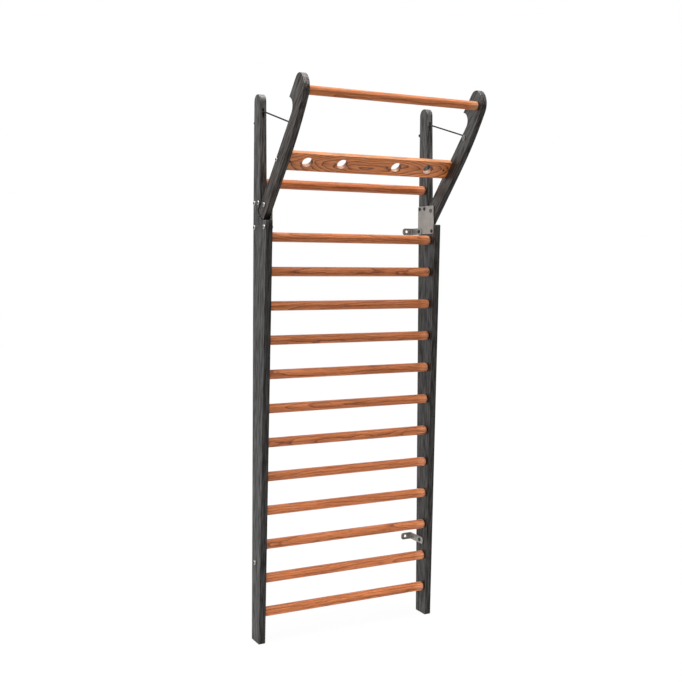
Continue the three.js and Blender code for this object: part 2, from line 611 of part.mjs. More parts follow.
function armOutline() {
  const footAt = (depth) => -Math.sqrt(FOOT_RADIUS ** 2 - depth ** 2);
  const neckFoot = notchTop - NECK_BELOW_NOTCH;
  const headTop = notchTop + HEAD_RISE;
  const crownDepth = -HEAD_REAR + HEAD_REAR_ROUND;
  const frontCentre = headTop - HEAD_FRONT_ROUND;
  const rearCentre = headTop - HEAD_REAR_ROUND;
  const joinRun = new THREE.Vector2(-Math.sin(HEAD_FRONT_ANGLE), Math.cos(HEAD_FRONT_ANGLE));
  const join = new THREE.Vector2(joinRun.y, -joinRun.x).multiplyScalar(HEAD_FRONT_ROUND);
  join.add(new THREE.Vector2(crownDepth, frontCentre));
  const handle = join.clone().addScaledVector(joinRun, -NECK_HANDLE);
  const lipAngle = Math.acos((-HEAD_REAR - notchCentre.x) / notchRadius);
  const footStart = Math.atan2(footAt(ARM_REAR), -ARM_REAR);
  const footEnd = Math.atan2(footAt(ARM_FRONT), ARM_FRONT);
  const outline = new THREE.Shape();
  outline.moveTo(ARM_FRONT, footAt(ARM_FRONT));
  outline.lineTo(ARM_FRONT, neckFoot);
  outline.bezierCurveTo(ARM_FRONT, neckFoot + NECK_HANDLE, handle.x, handle.y, join.x, join.y);
  outline.absarc(crownDepth, frontCentre, HEAD_FRONT_ROUND, HEAD_FRONT_ANGLE, Math.PI / 2);
  outline.absarc(crownDepth, rearCentre, HEAD_REAR_ROUND, Math.PI / 2, Math.PI);
  outline.lineTo(-HEAD_REAR, notchCentre.y + notchRadius * Math.sin(lipAngle));
  outline.absarc(notchCentre.x, notchCentre.y, notchRadius, lipAngle, 0, true);
  outline.lineTo(-ARM_REAR, footAt(ARM_REAR));
  outline.absarc(0, 0, FOOT_RADIUS, footStart, footEnd);
  return outline;
}

// The stay cable's hole in an arm, from its rear edge to the anchor, along the cable as it stands in use
function armCableHole(side) {
  const { head, toHead } = cableRoute(side);
  const start = head.clone().addScaledVector(toHead, -(ARM_REAR + ARM_FRONT));
  const hole = rodBetween(CABLE_BORE_DIAMETER / 2, start, head, SMALL_SIDES);
  const corner = place(0, pivotDepth, pivotHeight);
  return hole.translate(-corner.x, -corner.y, -corner.z).rotateX(-TILT);
}

function arm(side, name) {
  const [near, far] = [side * armInnerFace, side * armOuterFace];
  const body = sideways(armOutline(), near, far);
  const hole = (radius, depth, height, fromX, toX, sides) =>
    rod(radius, fromX, toX, sides).translate(0, -depth, height);
  const anchorRadius = ANCHOR_DIAMETER / 2 + SEAT_GAP;
  const anchorEnd = side * (cableX + ANCHOR_PAST_CABLE + SEAT_GAP);
  const tenonRadius = RUNG_TENON_DIAMETER / 2 + SEAT_GAP;
  const tenonEnd = near + side * (TENON_LENGTH + SEAT_GAP);
  const boltRadius = BOARD_BOLT_DIAMETER / 2 + HOLE_CLEARANCE;
  const [before, past] = [near - side * CUT_SPARE, far + side * CUT_SPARE];
  const tools = [
    hole(bushRadius + SEAT_GAP, 0, 0, before, past, SMALL_SIDES),
    hole(boltRadius, boardMiddleDepth, BOARD_ABOVE_PIVOT, before, past, SMALL_SIDES),
    hole(tenonRadius, barCentre.x, barCentre.y, before, tenonEnd, RUNG_SIDES),
    hole(anchorRadius, -ANCHOR_BEHIND_PIVOT, ANCHOR_ABOVE_PIVOT, before, anchorEnd, RUNG_SIDES),
    armCableHole(side),
  ];
  return mesh(name, cut(body, tools), stainedAsh);
}

function pivotBush(side, name) {
  const inner = PIVOT_DIAMETER / 2 + HOLE_CLEARANCE;
  const [low, high] = [armInnerFace, armOuterFace];
  const profile = [[inner, low], [bushRadius, low], [bushRadius, high], [inner, high], [inner, low]];
  const geometry = turned(profile, SMALL_SIDES);
  if (side < 0) geometry.rotateZ(Math.PI);
  return mesh(name, geometry, brass);
}

function stayAnchor(side, name) {
  const radius = ANCHOR_DIAMETER / 2;
  const proud = armInnerFace - ANCHOR_PROUD;
  const end = cableX + ANCHOR_PAST_CABLE;
  const edge = radius - ANCHOR_CHAMFER;
  const profile = [[0, proud], [edge, proud], [radius, proud + ANCHOR_CHAMFER], [radius, end], [0, end]];
  const geometry = turned(profile, RUNG_SIDES);
  if (side < 0) geometry.rotateZ(Math.PI);
  return mesh(name, geometry, darkSteel, new THREE.Vector3(0, ANCHOR_BEHIND_PIVOT, ANCHOR_ABOVE_PIVOT));
}

function boltBoreEnd() {
  return armInnerFace - SEAT_GAP - BARREL_NUT_INSET - BARREL_NUT_DIAMETER;
}

function gripBoard() {
  const end = armInnerFace - SEAT_GAP;
  const [bottom, top] = [BOARD_ABOVE_PIVOT - BOARD_HEIGHT / 2, BOARD_ABOVE_PIVOT + BOARD_HEIGHT / 2];
  const outline = new THREE.Shape();
  outline.moveTo(-end, bottom);
  outline.lineTo(end, bottom);
  outline.lineTo(end, top);
  outline.lineTo(-end, top);
  for (const spacing of [INNER_HOLE_SPACING, OUTER_HOLE_SPACING]) {
    for (const side of [-1, 1]) {
      const hole = new THREE.Path();
      hole.absarc(side * spacing / 2, gripHoleHeight, GRIP_HOLE_DIAMETER / 2, 0, 2 * Math.PI);
      outline.holes.push(hole);
    }
  }
  const frontY = ARM_REAR - BOARD_THICKNESS;
  const body = facing(outline, ARM_REAR, frontY);
  const tools = [];
  for (const side of [-1, 1]) {
    const boltRadius = BOARD_BOLT_DIAMETER / 2 + HOLE_CLEARANCE;
    const bore = rod(boltRadius, side * boltBoreEnd(), side * (end + CUT_SPARE), SMALL_SIDES);
    tools.push(bore.translate(0, -boardMiddleDepth, BOARD_ABOVE_PIVOT));
    const nutX = side * (end - BARREL_NUT_INSET);
    const mouth = new THREE.Vector3(nutX, frontY - CUT_SPARE, BOARD_ABOVE_PIVOT);
    const bottomOfBore = new THREE.Vector3(nutX, frontY + BARREL_NUT_DEPTH, BOARD_ABOVE_PIVOT);
    tools.push(rodBetween(BARREL_NUT_DIAMETER / 2 + SEAT_GAP, mouth, bottomOfBore, SMALL_SIDES));
  }
  return mesh('grip_board', cut(body, tools), boardWood);
}

// Cross-drilled barrel nut in the end of the board
function barrelNut(side, name) {
  const x = side * (armInnerFace - SEAT_GAP - BARREL_NUT_INSET);
  const frontY = ARM_REAR - BOARD_THICKNESS;
  const front = new THREE.Vector3(x, frontY + BARREL_NUT_RECESS, BOARD_ABOVE_PIVOT);
  const back = new THREE.Vector3(x, frontY + BARREL_NUT_DEPTH - SEAT_GAP, BOARD_ABOVE_PIVOT);
  const body = rodBetween(BARREL_NUT_DIAMETER / 2, front, back, SMALL_SIDES);
  const threadRadius = BOARD_BOLT_DIAMETER / 2 + SEAT_GAP;
  const thread = rod(threadRadius, x - BARREL_NUT_DIAMETER, x + BARREL_NUT_DIAMETER, SMALL_SIDES);
  const geometry = cut(body, [thread.translate(0, -boardMiddleDepth, BOARD_ABOVE_PIVOT)]);
  return mesh(name, geometry, darkSteel);
}

function boardBolt(side, name) {
  const tip = boltBoreEnd() + SEAT_GAP;
  const sizes = [BOARD_BOLT_DIAMETER, BOARD_BOLT_HEAD_DIAMETER];
  const piece = bolt(side, name, pivot, ...sizes, armOuterFace, tip, boltSteel);
  piece.position.set(0, -boardMiddleDepth, BOARD_ABOVE_PIVOT);
  return piece;
}

// The assembly

const wallBars = new THREE.Group();
const pullUpFrame = new THREE.Group();
pullUpFrame.position.copy(place(0, pivotDepth, pivotHeight));
pullUpFrame.rotation.x = TILT;
wallBars.add(pullUpFrame);

for (const [sideName, side] of [['left', -1], ['right', 1]]) {
  wallBars.add(upright(side, `upright_${sideName}`));
  wallBars.add(hingePlate(side, `hinge_plate_${sideName}`));
  const upperX = innerFace - 2 * SEAT_GAP - PLATE_THICKNESS;
  const upperEnd = REAR_BOLT_DEPTH + UPPER_TAB_AHEAD_OF_BOLT;
  const lowerEnd = LOWER_BOLT_DEPTH + LOWER_TAB_AHEAD_OF_BOLT;
  const [upperName, lowerName] = [`upper_wall_bracket_${sideName}`, `lower_wall_bracket_${sideName}`];
  wallBars.add(wallBracket(side, upperName, upperX, upperBracketHeight, REAR_BOLT_DEPTH, upperEnd));
  const lowerX = innerFace - SEAT_GAP;
  wallBars.add(wallBracket(side, lowerName, lowerX, lowerBracketHeight, LOWER_BOLT_DEPTH, lowerEnd));
  wallBars.add(...fixedFasteners(side, sideName));
  wallBars.add(pivotRivet(side, `pivot_rivet_${sideName}`));
  wallBars.add(stayStop(side, `stay_stop_${sideName}`));
  wallBars.add(stayCable(side, `stay_cable_${sideName}`));
  pullUpFrame.add(arm(side, `arm_${sideName}`));
  pullUpFrame.add(pivotBush(side, `pivot_bush_${sideName}`));
  pullUpFrame.add(stayAnchor(side, `stay_anchor_${sideName}`));
  pullUpFrame.add(boardBolt(side, `board_bolt_${sideName}`));
  pullUpFrame.add(barrelNut(side, `barrel_nut_${sideName}`));
}
for (let i = 0; i < rungs.length; i += 1) wallBars.add(rung(i));
const barAt = new THREE.Vector3(0, -barCentre.x, barCentre.y);
pullUpFrame.add(tenonedBar('pull_up_bar', BAR_DIAMETER, armInnerFace, rungWood, barAt));
pullUpFrame.add(gripBoard());

export default wallBars;
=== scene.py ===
import json
import math

import bmesh
import bpy
from mathutils import Matrix, Vector

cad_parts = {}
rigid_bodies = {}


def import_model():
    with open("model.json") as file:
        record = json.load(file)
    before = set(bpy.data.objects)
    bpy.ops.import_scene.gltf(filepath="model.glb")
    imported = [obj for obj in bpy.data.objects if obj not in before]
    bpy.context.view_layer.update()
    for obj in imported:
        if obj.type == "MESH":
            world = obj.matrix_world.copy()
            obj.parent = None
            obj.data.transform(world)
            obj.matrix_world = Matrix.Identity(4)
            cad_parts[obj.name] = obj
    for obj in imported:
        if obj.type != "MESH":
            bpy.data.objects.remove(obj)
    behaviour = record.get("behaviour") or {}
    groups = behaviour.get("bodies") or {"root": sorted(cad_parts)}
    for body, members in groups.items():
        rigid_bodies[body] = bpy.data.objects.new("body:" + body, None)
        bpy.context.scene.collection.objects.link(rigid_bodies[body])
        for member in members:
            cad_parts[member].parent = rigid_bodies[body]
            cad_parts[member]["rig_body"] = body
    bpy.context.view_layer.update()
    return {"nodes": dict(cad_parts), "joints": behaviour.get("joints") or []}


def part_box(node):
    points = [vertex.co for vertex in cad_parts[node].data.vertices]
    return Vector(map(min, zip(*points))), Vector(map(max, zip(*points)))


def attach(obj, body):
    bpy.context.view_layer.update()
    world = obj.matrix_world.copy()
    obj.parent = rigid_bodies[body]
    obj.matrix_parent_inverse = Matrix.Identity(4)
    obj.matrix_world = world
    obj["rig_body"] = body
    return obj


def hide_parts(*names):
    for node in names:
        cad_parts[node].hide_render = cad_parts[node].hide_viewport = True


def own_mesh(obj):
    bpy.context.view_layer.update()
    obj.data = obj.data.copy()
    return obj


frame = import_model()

nodes = frame["nodes"]
SIDES = (("left", -1), ("right", 1))

# All lengths are in metres. LEAN takes points that are measured from the pivot of an upright pull-up frame
# to where the leaning frame has them.
PIVOT = Vector(frame["joints"][0]["pos_m"])
TILT = math.radians(frame["joints"][0]["range_deg"][1])
LEAN = Matrix.Translation(PIVOT) @ Matrix.Rotation(TILT, 4, "X")
LEAN_UP = (LEAN.to_3x3() @ Vector((0, 0, 1))).normalized()

# Rounding of the uprights' and arms' edges, and how far down and how strongly a highlight is painted on
# their tops
WOOD_ROUND = 0.002
CREST_DEPTH = 0.045
TOP_HIGHLIGHT = {"left": 1.0, "right": 0.3}

# Route of a stay cable in the plane X = 0, and how far from that plane the two cables lie
CABLE_X = 0.3555
CABLE_RADIUS = 0.0028
CABLE_TAIL = Vector((0, -0.0462, 1.9062))
CABLE_BEND = Vector((0, -0.1018, 1.9402))
CABLE_END = Vector((0, -0.3481, 1.8684))
CABLE_BEND_RUN = 0.016

# The slots in the uprights' front edges, which let the cables out a little below their bends
SLOT_HALF_WIDTH = 0.0035
SLOT_HALF_STRAIGHT = 0.0145
SLOT_DEPTH = 0.014
SLOT_DROP = 0.006

# Strength of the soft light, of the key light and of the ceiling that polished faces mirror
AMBIENT = 0.49
KEY = 3.3
CEILING = 2.4


# Materials

def new_material(name):
    """A material with a principled shader, its node tree and that shader."""
    material = bpy.data.materials.new(name)
    material.use_nodes = True
    tree = material.node_tree
    tree.nodes.clear()
    shader = tree.nodes.new("ShaderNodeBsdfPrincipled")
    output = tree.nodes.new("ShaderNodeOutputMaterial")
    tree.links.new(shader.outputs[0], output.inputs["Surface"])
    return material, tree, shader


def feed(tree, socket, value):
    """Links a socket's value, or sets it where it is a plain number or colour."""
    if isinstance(value, bpy.types.NodeSocket):
        tree.links.new(value, socket)
    else:
        socket.default_value = value


def add(tree, kind, inputs, **settings):
    """Adds a shader node with its settings and the values or links of its inputs."""
    node = tree.nodes.new("ShaderNode" + kind)
    for key, value in settings.items():
        setattr(node, key, value)
    for key, value in inputs.items():
        feed(tree, node.inputs[key], value)
    return node


def noise(tree, vector, stretch, detail=3.0, roughness=0.55):
    """Noise with the given number of repeats per metre along each axis."""
    scaled = add(tree, "Mapping", {"Vector": vector, "Scale": stretch}).outputs[0]
    return add(tree, "TexNoise", {"Vector": scaled, "Scale": 1.0, "Detail": detail, "Roughness": roughness})


def span(tree, value, low, high, to_low, to_high):
    """Stretches the values from low to high to a new range."""
    inputs = {"Value": value, "From Min": low, "From Max": high, "To Min": to_low, "To Max": to_high}
    return add(tree, "MapRange", inputs).outputs["Result"]


def ramp(tree, value, stops):
    """A colour ramp through stops of place and colour."""
    node = add(tree, "ValToRGB", {"Fac": value})
    elements = node.color_ramp.elements
    while len(elements) < len(stops):
        elements.new(0.5)
    for element, (place, colour) in zip(elements, stops):
        element.position = place
        element.color = (*colour, 1)
    return node.outputs["Color"]


def tint(tree, colour, shade):
    """Multiplies a colour by a grey value or by another colour."""
    node = add(tree, "Mix", {0: 1.0, 6: colour, 7: shade}, data_type="RGBA", blend_type="MULTIPLY")
    return node.outputs[2]


# Noise values between which streaks and slow changes go from one extreme to the other
STREAK_BAND = (0.4, 0.6)
SLOW_BAND = (0.3, 0.7)

# Rounding of the tops of a crown's arches, and change of roughness between dull and glossy places
CROWN_ROUND = 0.0009
GLOSS_CHANGE = 0.08


def wood(name, stops, ring, wander, streak, streak_size, mottle, roughness, specular, pore, fleck,
         crown=0.0, polish=0.2, tone=None, painted_upper_light=None):
    """Timber with growth rings round its heart, streaks, slow changes of tone, flecks and fine pores.

    The rings are as wide as ring says, and a crown bends them into arches about the middle of the piece.
    Colour and sheen are multiplied by tone where the attribute "tone" is 1, and by part of it below that.
    The pieces paint highlights, light and shade into the colour with it, and the grip holes' darker end
    grain.
    An upper light is painted with a low height, a high one, and what colour and sheen are multiplied by from
    the high one up.
    """
    material, tree, shader = new_material(name)
    grain = add(tree, "Attribute", {}, attribute_name="grain").outputs["Vector"]
    drift = noise(tree, grain, (3.2, 8, 8), 4.0, 0.5).outputs["Color"]
    centred = add(tree, "VectorMath", {0: drift, 1: (0.5, 0.5, 0.5)}, operation="SUBTRACT").outputs[0]
    sway = add(tree, "VectorMath", {0: centred, 1: (0, wander, wander)}, operation="MULTIPLY").outputs[0]
    bent = add(tree, "VectorMath", {0: grain, 1: sway}, operation="ADD").outputs[0]
    if crown:
        along = add(tree, "SeparateXYZ", {0: grain}).outputs["X"]
        terms = {0: along, 1: along, 2: CROWN_ROUND}
        square = add(tree, "Math", terms, operation="MULTIPLY_ADD").outputs[0]
        away = add(tree, "Math", {0: square}, operation="SQRT").outputs[0]
        rise = add(tree, "Math", {0: away, 1: crown}, operation="MULTIPLY").outputs[0]
        lift = add(tree, "CombineXYZ", {"Z": rise}).outputs[0]
        bent = add(tree, "VectorMath", {0: bent, 1: lift}, operation="ADD").outputs[0]
    wave = {"Vector": bent, "Scale": math.pi / 10 / ring, "Distortion": 0.0}
    rings = add(tree, "TexWave", wave, wave_type="RINGS", rings_direction="X", wave_profile="SAW")
    colour = ramp(tree, rings.outputs["Fac"], stops)
    long, wide = streak_size
    streaks = noise(tree, grain, (long, wide, wide), 3.0, 0.6).outputs["Fac"]
    slow = noise(tree, grain, (2.4, 17, 17), 2.0).outputs["Fac"]
    fibres = noise(tree, grain, (22, 950, 950), 3.0, 0.7).outputs["Fac"]
    colour = tint(tree, colour, span(tree, streaks, *STREAK_BAND, 1 - streak, 1 + streak))
    colour = tint(tree, colour, span(tree, slow, *SLOW_BAND, 1 - mottle, 1 + mottle))
    flecks = noise(tree, grain, (34, 340, 340), 2.0, 0.5).outputs["Fac"]
    colour = tint(tree, colour, span(tree, fibres, 0.36, 0.5, 1 - pore, 1.0))
    colour = tint(tree, colour, span(tree, flecks, 0.54, 0.66, 1.0, 1 - fleck))
    sheen = span(tree, streaks, *STREAK_BAND, specular * (1 - polish), specular * (1 + polish))
    if tone:
        amount = add(tree, "Attribute", {}, attribute_name="tone").outputs["Fac"]
        change = ramp(tree, amount, [(0.0, (1, 1, 1)), (1.0, tone)])
        colour = tint(tree, colour, change)
        sheen = add(tree, "Math", {0: sheen, 1: change}, operation="MULTIPLY").outputs[0]
    # Light painted on the upper part, paler and glossier from the low height to the high one
    if painted_upper_light:
        low, high, gain = painted_upper_light
        place = add(tree, "TexCoord", {}).outputs["Object"]
        height = add(tree, "SeparateXYZ", {0: place}).outputs["Z"]
        paler = span(tree, height, low, high, 1, gain)
        colour = tint(tree, colour, paler)
        sheen = add(tree, "Math", {0: sheen, 1: paler}, operation="MULTIPLY").outputs[0]
    feed(tree, shader.inputs["Base Color"], colour)
    gloss = span(tree, streaks, *STREAK_BAND, roughness + GLOSS_CHANGE, roughness - GLOSS_CHANGE)
    feed(tree, shader.inputs["Roughness"], gloss)
    shader.inputs["Specular IOR Level"].default_value = specular
    feed(tree, shader.inputs["Specular IOR Level"], sheen)
    relief = add(tree, "Math", {0: fibres, 1: streaks}, operation="ADD").outputs[0]
    bump = {"Height": relief, "Strength": 0.35, "Distance": 0.0006}
    feed(tree, shader.inputs["Normal"], add(tree, "Bump", bump).outputs[0])
    return material


def metal(name, light, dark, roughness, metallic, brush, wear=0.12, specular=0.5):
    """Sheet or turned metal with a fine brushed grain, cloudy tone and uneven gloss."""
    material, tree, shader = new_material(name)
    place = add(tree, "TexCoord", {}).outputs["Object"]
    brushed = noise(tree, place, brush, 3.0, 0.65).outputs["Fac"]
    cloud = noise(tree, place, (55, 55, 55), 4.0).outputs["Fac"]
    colour = ramp(tree, brushed, [(0.3, dark), (0.7, light)])
    colour = tint(tree, colour, span(tree, cloud, *SLOW_BAND, 1 - wear, 1 + wear))
    feed(tree, shader.inputs["Base Color"], colour)
    gloss = span(tree, cloud, *SLOW_BAND, roughness - 0.06, roughness + GLOSS_CHANGE)
    feed(tree, shader.inputs["Roughness"], gloss)
    shader.inputs["Metallic"].default_value = metallic
    shader.inputs["Specular IOR Level"].default_value = specular
    bump = {"Height": brushed, "Strength": 0.12, "Distance": 0.0002}
    feed(tree, shader.inputs["Normal"], add(tree, "Bump", bump).outputs[0])
    return material


# The stain's tones in a growth ring, and what they are multiplied by where light is painted on: the tops'
# highlight and the slots' walls
STAIN_LIGHT = (0.024, 0.0211, 0.0186)
STAIN_MIDDLE = (0.021, 0.0186, 0.0163)
STAIN_DARK = (0.015, 0.0133, 0.0119)
PAINTED_LIGHT_GAIN = (4.2, 4.2, 4.2)


def stained(name, shade, specular, painted_upper_light=None):
    """Ash under a black stain that lets the grain show."""
    light, middle, dark = (
        tuple(s * c for s, c in zip(shade, colour)) for colour in (STAIN_LIGHT, STAIN_MIDDLE, STAIN_DARK))
    return wood(
        name, [(0.0, light), (0.55, middle), (0.9, dark), (1.0, light)],
        ring=0.009, wander=0.03, streak=0.2, streak_size=(14, 240), mottle=0.1, roughness=0.44,
        specular=specular, pore=0.25, fleck=0.2, polish=0.7, tone=PAINTED_LIGHT_GAIN, painted_upper_light=painted_upper_light)


# The right upright's stain and both uprights' edge stain are painted lighter towards the top, as painted
# light
STAINED_ASH = {
    "left": stained("stained_ash_left", (1.0, 1.0, 1.0), 0.35),
    "right": stained("stained_ash_right", (1.0, 1.0, 1.0), 0.35, painted_upper_light=(1.35, 1.70, 1.55))}
# The edges' stain is a copy of the sides' painted a little darker and less glossy, as painted shade
STAINED_EDGES = stained("stained_edges", (0.95, 0.95, 0.95), 0.28, painted_upper_light=(1.50, 1.75, 1.5))
# Lit and shaded copies of one stain for each arm's edges and sides; the right arm's sides are painted twice
# as light and glossier, as painted light
ARM_EDGES = {
    "left": stained("left_arm_edges", (1.45, 1.27, 1.12), 0.32),
    "right": stained("right_arm_edges", (1.0, 0.95, 0.9), 0.24)}
ARM_SIDES = {
    "left": stained("left_arm_sides", (1.5, 1.13, 0.87), 0.235),
    "right": stained("right_arm_sides", (2.0, 2.0, 2.0), 0.5)}
# The rungs' and the bar's tones are the highlight painted on their right-hand ends
RUNG_WOOD = wood(
    "rung_wood",
    [(0.0, (0.64, 0.205, 0.066)), (0.5, (0.59, 0.180, 0.054)), (0.80, (0.50, 0.146, 0.042)),
     (0.93, (0.22, 0.060, 0.021)), (1.0, (0.60, 0.184, 0.056))],
    ring=0.010, wander=0.05, streak=0.14, streak_size=(6, 170), mottle=0.1, roughness=0.46, specular=0.32,
    pore=0.12, fleck=0.3, tone=(1.6, 2.05, 3.1))
BAR_WOOD = wood(
    "bar_wood",
    [(0.0, (0.74, 0.255, 0.088)), (0.5, (0.69, 0.224, 0.074)), (0.82, (0.56, 0.166, 0.053)),
     (0.94, (0.33, 0.088, 0.028)), (1.0, (0.71, 0.238, 0.081))],
    ring=0.010, wander=0.05, streak=0.14, streak_size=(6, 170), mottle=0.08, roughness=0.46, specular=0.26,
    pore=0.12, fleck=0.2, tone=(1.32, 1.9, 2.8))
BOARD_WOOD = wood(
    "board_wood",
    [(0.0, (0.88, 0.310, 0.090)), (0.55, (0.80, 0.250, 0.066)), (0.78, (0.60, 0.172, 0.044)),
     (0.92, (0.12, 0.030, 0.011)), (1.0, (0.80, 0.255, 0.070))],
    ring=0.0075, wander=0.06, streak=0.12, streak_size=(7, 200), mottle=0.2, roughness=0.4, specular=0.4,
    pore=0.12, fleck=0.3, crown=0.15)
EDGE_WOOD = wood(
    "edge_wood",
    [(0.0, (0.70, 0.290, 0.108)), (0.6, (0.66, 0.262, 0.093)), (0.9, (0.52, 0.185, 0.060)),
     (1.0, (0.68, 0.275, 0.100))],
    ring=0.003, wander=0.02, streak=0.12, streak_size=(7, 200), mottle=0.1, roughness=0.4, specular=0.4,
    pore=0.12, fleck=0.1)
# Paler than the board's face, partly the bored wood's own colour and partly light painted from above; its
# tone darkens the end grain, partly as painted shade
BORED_WOOD = wood(
    "bored_wood",
    [(0.0, (0.58, 0.330, 0.228)), (0.7, (0.53, 0.286, 0.190)), (1.0, (0.46, 0.235, 0.148))],
    ring=0.009, wander=0.03, streak=0.1, streak_size=(7, 200), mottle=0.06, roughness=0.5, specular=0.3,
    pore=0.1, fleck=0.1, tone=(0.46, 0.34, 0.25))
PLATE_STEEL = metal(
    "plate_steel", (0.465, 0.438, 0.404), (0.385, 0.363, 0.336),
    roughness=0.52, metallic=0.4, brush=(900, 40, 700))
STRIP_STEEL = metal(
    "strip_steel", (0.40, 0.382, 0.355), (0.28, 0.268, 0.249),
    roughness=0.42, metallic=0.85, brush=(500, 60, 900), wear=0.2)
BOLT_STEEL = metal(
    "bolt_steel", (0.40, 0.392, 0.38), (0.30, 0.295, 0.285),
    roughness=0.22, metallic=0.95, brush=(400, 1200, 1200))
DARK_STEEL = metal(
    "dark_steel", (0.035, 0.034, 0.033), (0.02, 0.02, 0.019),
    roughness=0.42, metallic=0.4, brush=(400, 900, 900), wear=0.25)
ANCHOR_STEEL = metal(
    "anchor_steel", (0.27, 0.265, 0.255), (0.21, 0.206, 0.198),
    roughness=0.42, metallic=0.5, brush=(400, 900, 900), wear=0.2)
# The rope is painted nearly black, as the shade it lies in; bolt steel on its bend is a painted highlight
CABLE_STEEL = metal(
    "cable_steel", (0.024, 0.024, 0.023), (0.012, 0.012, 0.0115),
    roughness=0.6, metallic=0.1, brush=(700, 700, 700), wear=0.2, specular=0.15)
BUSH_BRASS = metal(
    "bush_brass", (0.46, 0.31, 0.10), (0.36, 0.235, 0.07),
    roughness=0.34, metallic=0.95, brush=(900, 300, 300))


# Mesh helpers

WELD_DISTANCE = 2e-6
FLAT_WITHIN = 1e-5

# Corners of an outline that are sharper than this are rounded, in so many steps
SHARP_BELOW = math.radians(125)
CORNER_STEPS = 5

# How far a face may look sideways and still be part of a board's edge, or of its top with the painted
# highlight
EDGE_SIDEWAYS = 0.5
CREST_SIDEWAYS = 0.9


def link(name, data):
    """Makes an object of its data and puts it into the scene."""
    piece = bpy.data.objects.new(name, data)
    bpy.context.scene.collection.objects.link(piece)
    return piece


def weld(mesh):
    """Joins points that coincide and turns all faces outward."""
    work = bmesh.new()
    work.from_mesh(mesh)
    bmesh.ops.remove_doubles(work, verts=work.verts, dist=WELD_DISTANCE)
    bmesh.ops.recalc_face_normals(work, faces=work.faces)
    work.to_mesh(mesh)
    work.free()


def smooth(piece):
    """Shades a piece smooth between its sharp edges."""
    mesh = piece.data
    mesh.polygons.foreach_set("use_smooth", [True] * len(mesh.polygons))
    mesh.set_sharp_from_angle(angle=math.radians(35))
    modifier = piece.modifiers.new("WeightedNormal", "WEIGHTED_NORMAL")
    modifier.keep_sharp = True
    modifier.weight = 80


def settle(piece, material, slot, *cad_nodes):
    """Gives a piece its finish, and lets it stand for CAD nodes and move with their body."""
    piece.data.materials.clear()
    piece.data.materials.append(material)
    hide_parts(*cad_nodes)
    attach(piece, nodes[cad_nodes[0]]["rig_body"])


def paint_edge_shade_and_top_highlight(piece, material, top_light):
    """Gives the faces between a board's two sides a copy of the stain shaded for the light that falls there,
    and paints a highlight on the top.
    """
    mesh = piece.data
    mesh.materials.append(material)
    tone = mesh.attributes.new("tone", "FLOAT", "FACE")
    top = max(v.co.z for v in mesh.vertices)
    for face in mesh.polygons:
        if abs(face.normal.x) < EDGE_SIDEWAYS:
            face.material_index = 1
        # Painted highlight on the top, stronger where it faces up
        if abs(face.normal.x) < CREST_SIDEWAYS and face.center.z > top - CREST_DEPTH:
            tone.data[face.index].value = top_light * max(0, face.normal.z)


def side_outline(node):
    """The outer edge of a node's flat outer side, as (forward, up) points in order."""
    work = bmesh.new()
    work.from_mesh(nodes[node].data)
    bmesh.ops.remove_doubles(work, verts=work.verts, dist=1e-6)
    work.faces.index_update()
    reach = max(abs(v.co.x) for v in work.verts)
    flat = [f for f in work.faces if all(abs(abs(v.co.x) - reach) < FLAT_WITHIN for v in f.verts)]
    on_side = {f.index for f in flat}
    follow = {}
    for face in flat:
        for loop in face.loops:
            if sum(f.index in on_side for f in loop.edge.link_faces) == 1:
                follow[loop.vert] = loop.link_loop_next.vert
    best = []
    while follow:
        start, current = next(iter(follow.items()))
        ring = [start]
        del follow[start]
        while current is not start:
            ring.append(current)
            current = follow.pop(current)
        if len(best) == 0 or height_of(ring) > height_of(best):
            best = ring
    points = [(-v.co.y, v.co.z) for v in best]
    work.free()
    return points


def ease_corners(points, radius):
    """Rounds the sharp outer corners of an outline."""
    eased = []
    for i, (a, b) in enumerate(points):
        corner = Vector((a, b))
        to_last = Vector(points[i - 1]) - corner
        to_next = Vector(points[(i + 1) % len(points)]) - corner
        reach = min(to_last.length, to_next.length)
        if to_last.angle(to_next) > SHARP_BELOW or reach < 2.5 * radius:
            eased.append((a, b))
            continue
        start = corner + to_last.normalized() * radius
        end = corner + to_next.normalized() * radius
        for step in range(CORNER_STEPS + 1):
            t = step / CORNER_STEPS
            eased.append(tuple(start.lerp(corner, t).lerp(corner.lerp(end, t), t)))
    return eased


def height_of(ring):
    """How far a ring of points reaches up and down."""
    heights = [v.co.z for v in ring]
    return max(heights) - min(heights)


def rounded_slab(name, loops, thickness, radius, place):
    """A board cut to 2D loops, with rounded edges, moved to its place by a matrix."""
    curve = bpy.data.curves.new(name, "CURVE")
    curve.dimensions = "2D"
    curve.fill_mode = "BOTH"
    curve.extrude = thickness / 2 - radius
    curve.bevel_depth = radius
    curve.bevel_resolution = 3
    curve.offset = -radius
    for loop in loops:
        spline = curve.splines.new("POLY")
        spline.points.add(len(loop) - 1)
        for point, (a, b) in zip(spline.points, loop):
            point.co = (a, b, 0, 1)
        spline.use_cyclic_u = True
    holder = link(name + "_outline", curve)
    graph = bpy.context.evaluated_depsgraph_get()
    mesh = bpy.data.meshes.new_from_object(holder.evaluated_get(graph))
    bpy.data.objects.remove(holder)
    bpy.data.curves.remove(curve)
    mesh.name = name
    mesh.transform(place)
    weld(mesh)
    return link(name, mesh)


def side_place(low_x, high_x):
    """Turns (forward, up, across) into the frame's axes, midway between two X values."""
    middle = (low_x + high_x) / 2
    return Matrix(((0, 0, -1, middle), (-1, 0, 0, 0), (0, 1, 0, 0), (0, 0, 0, 1)))


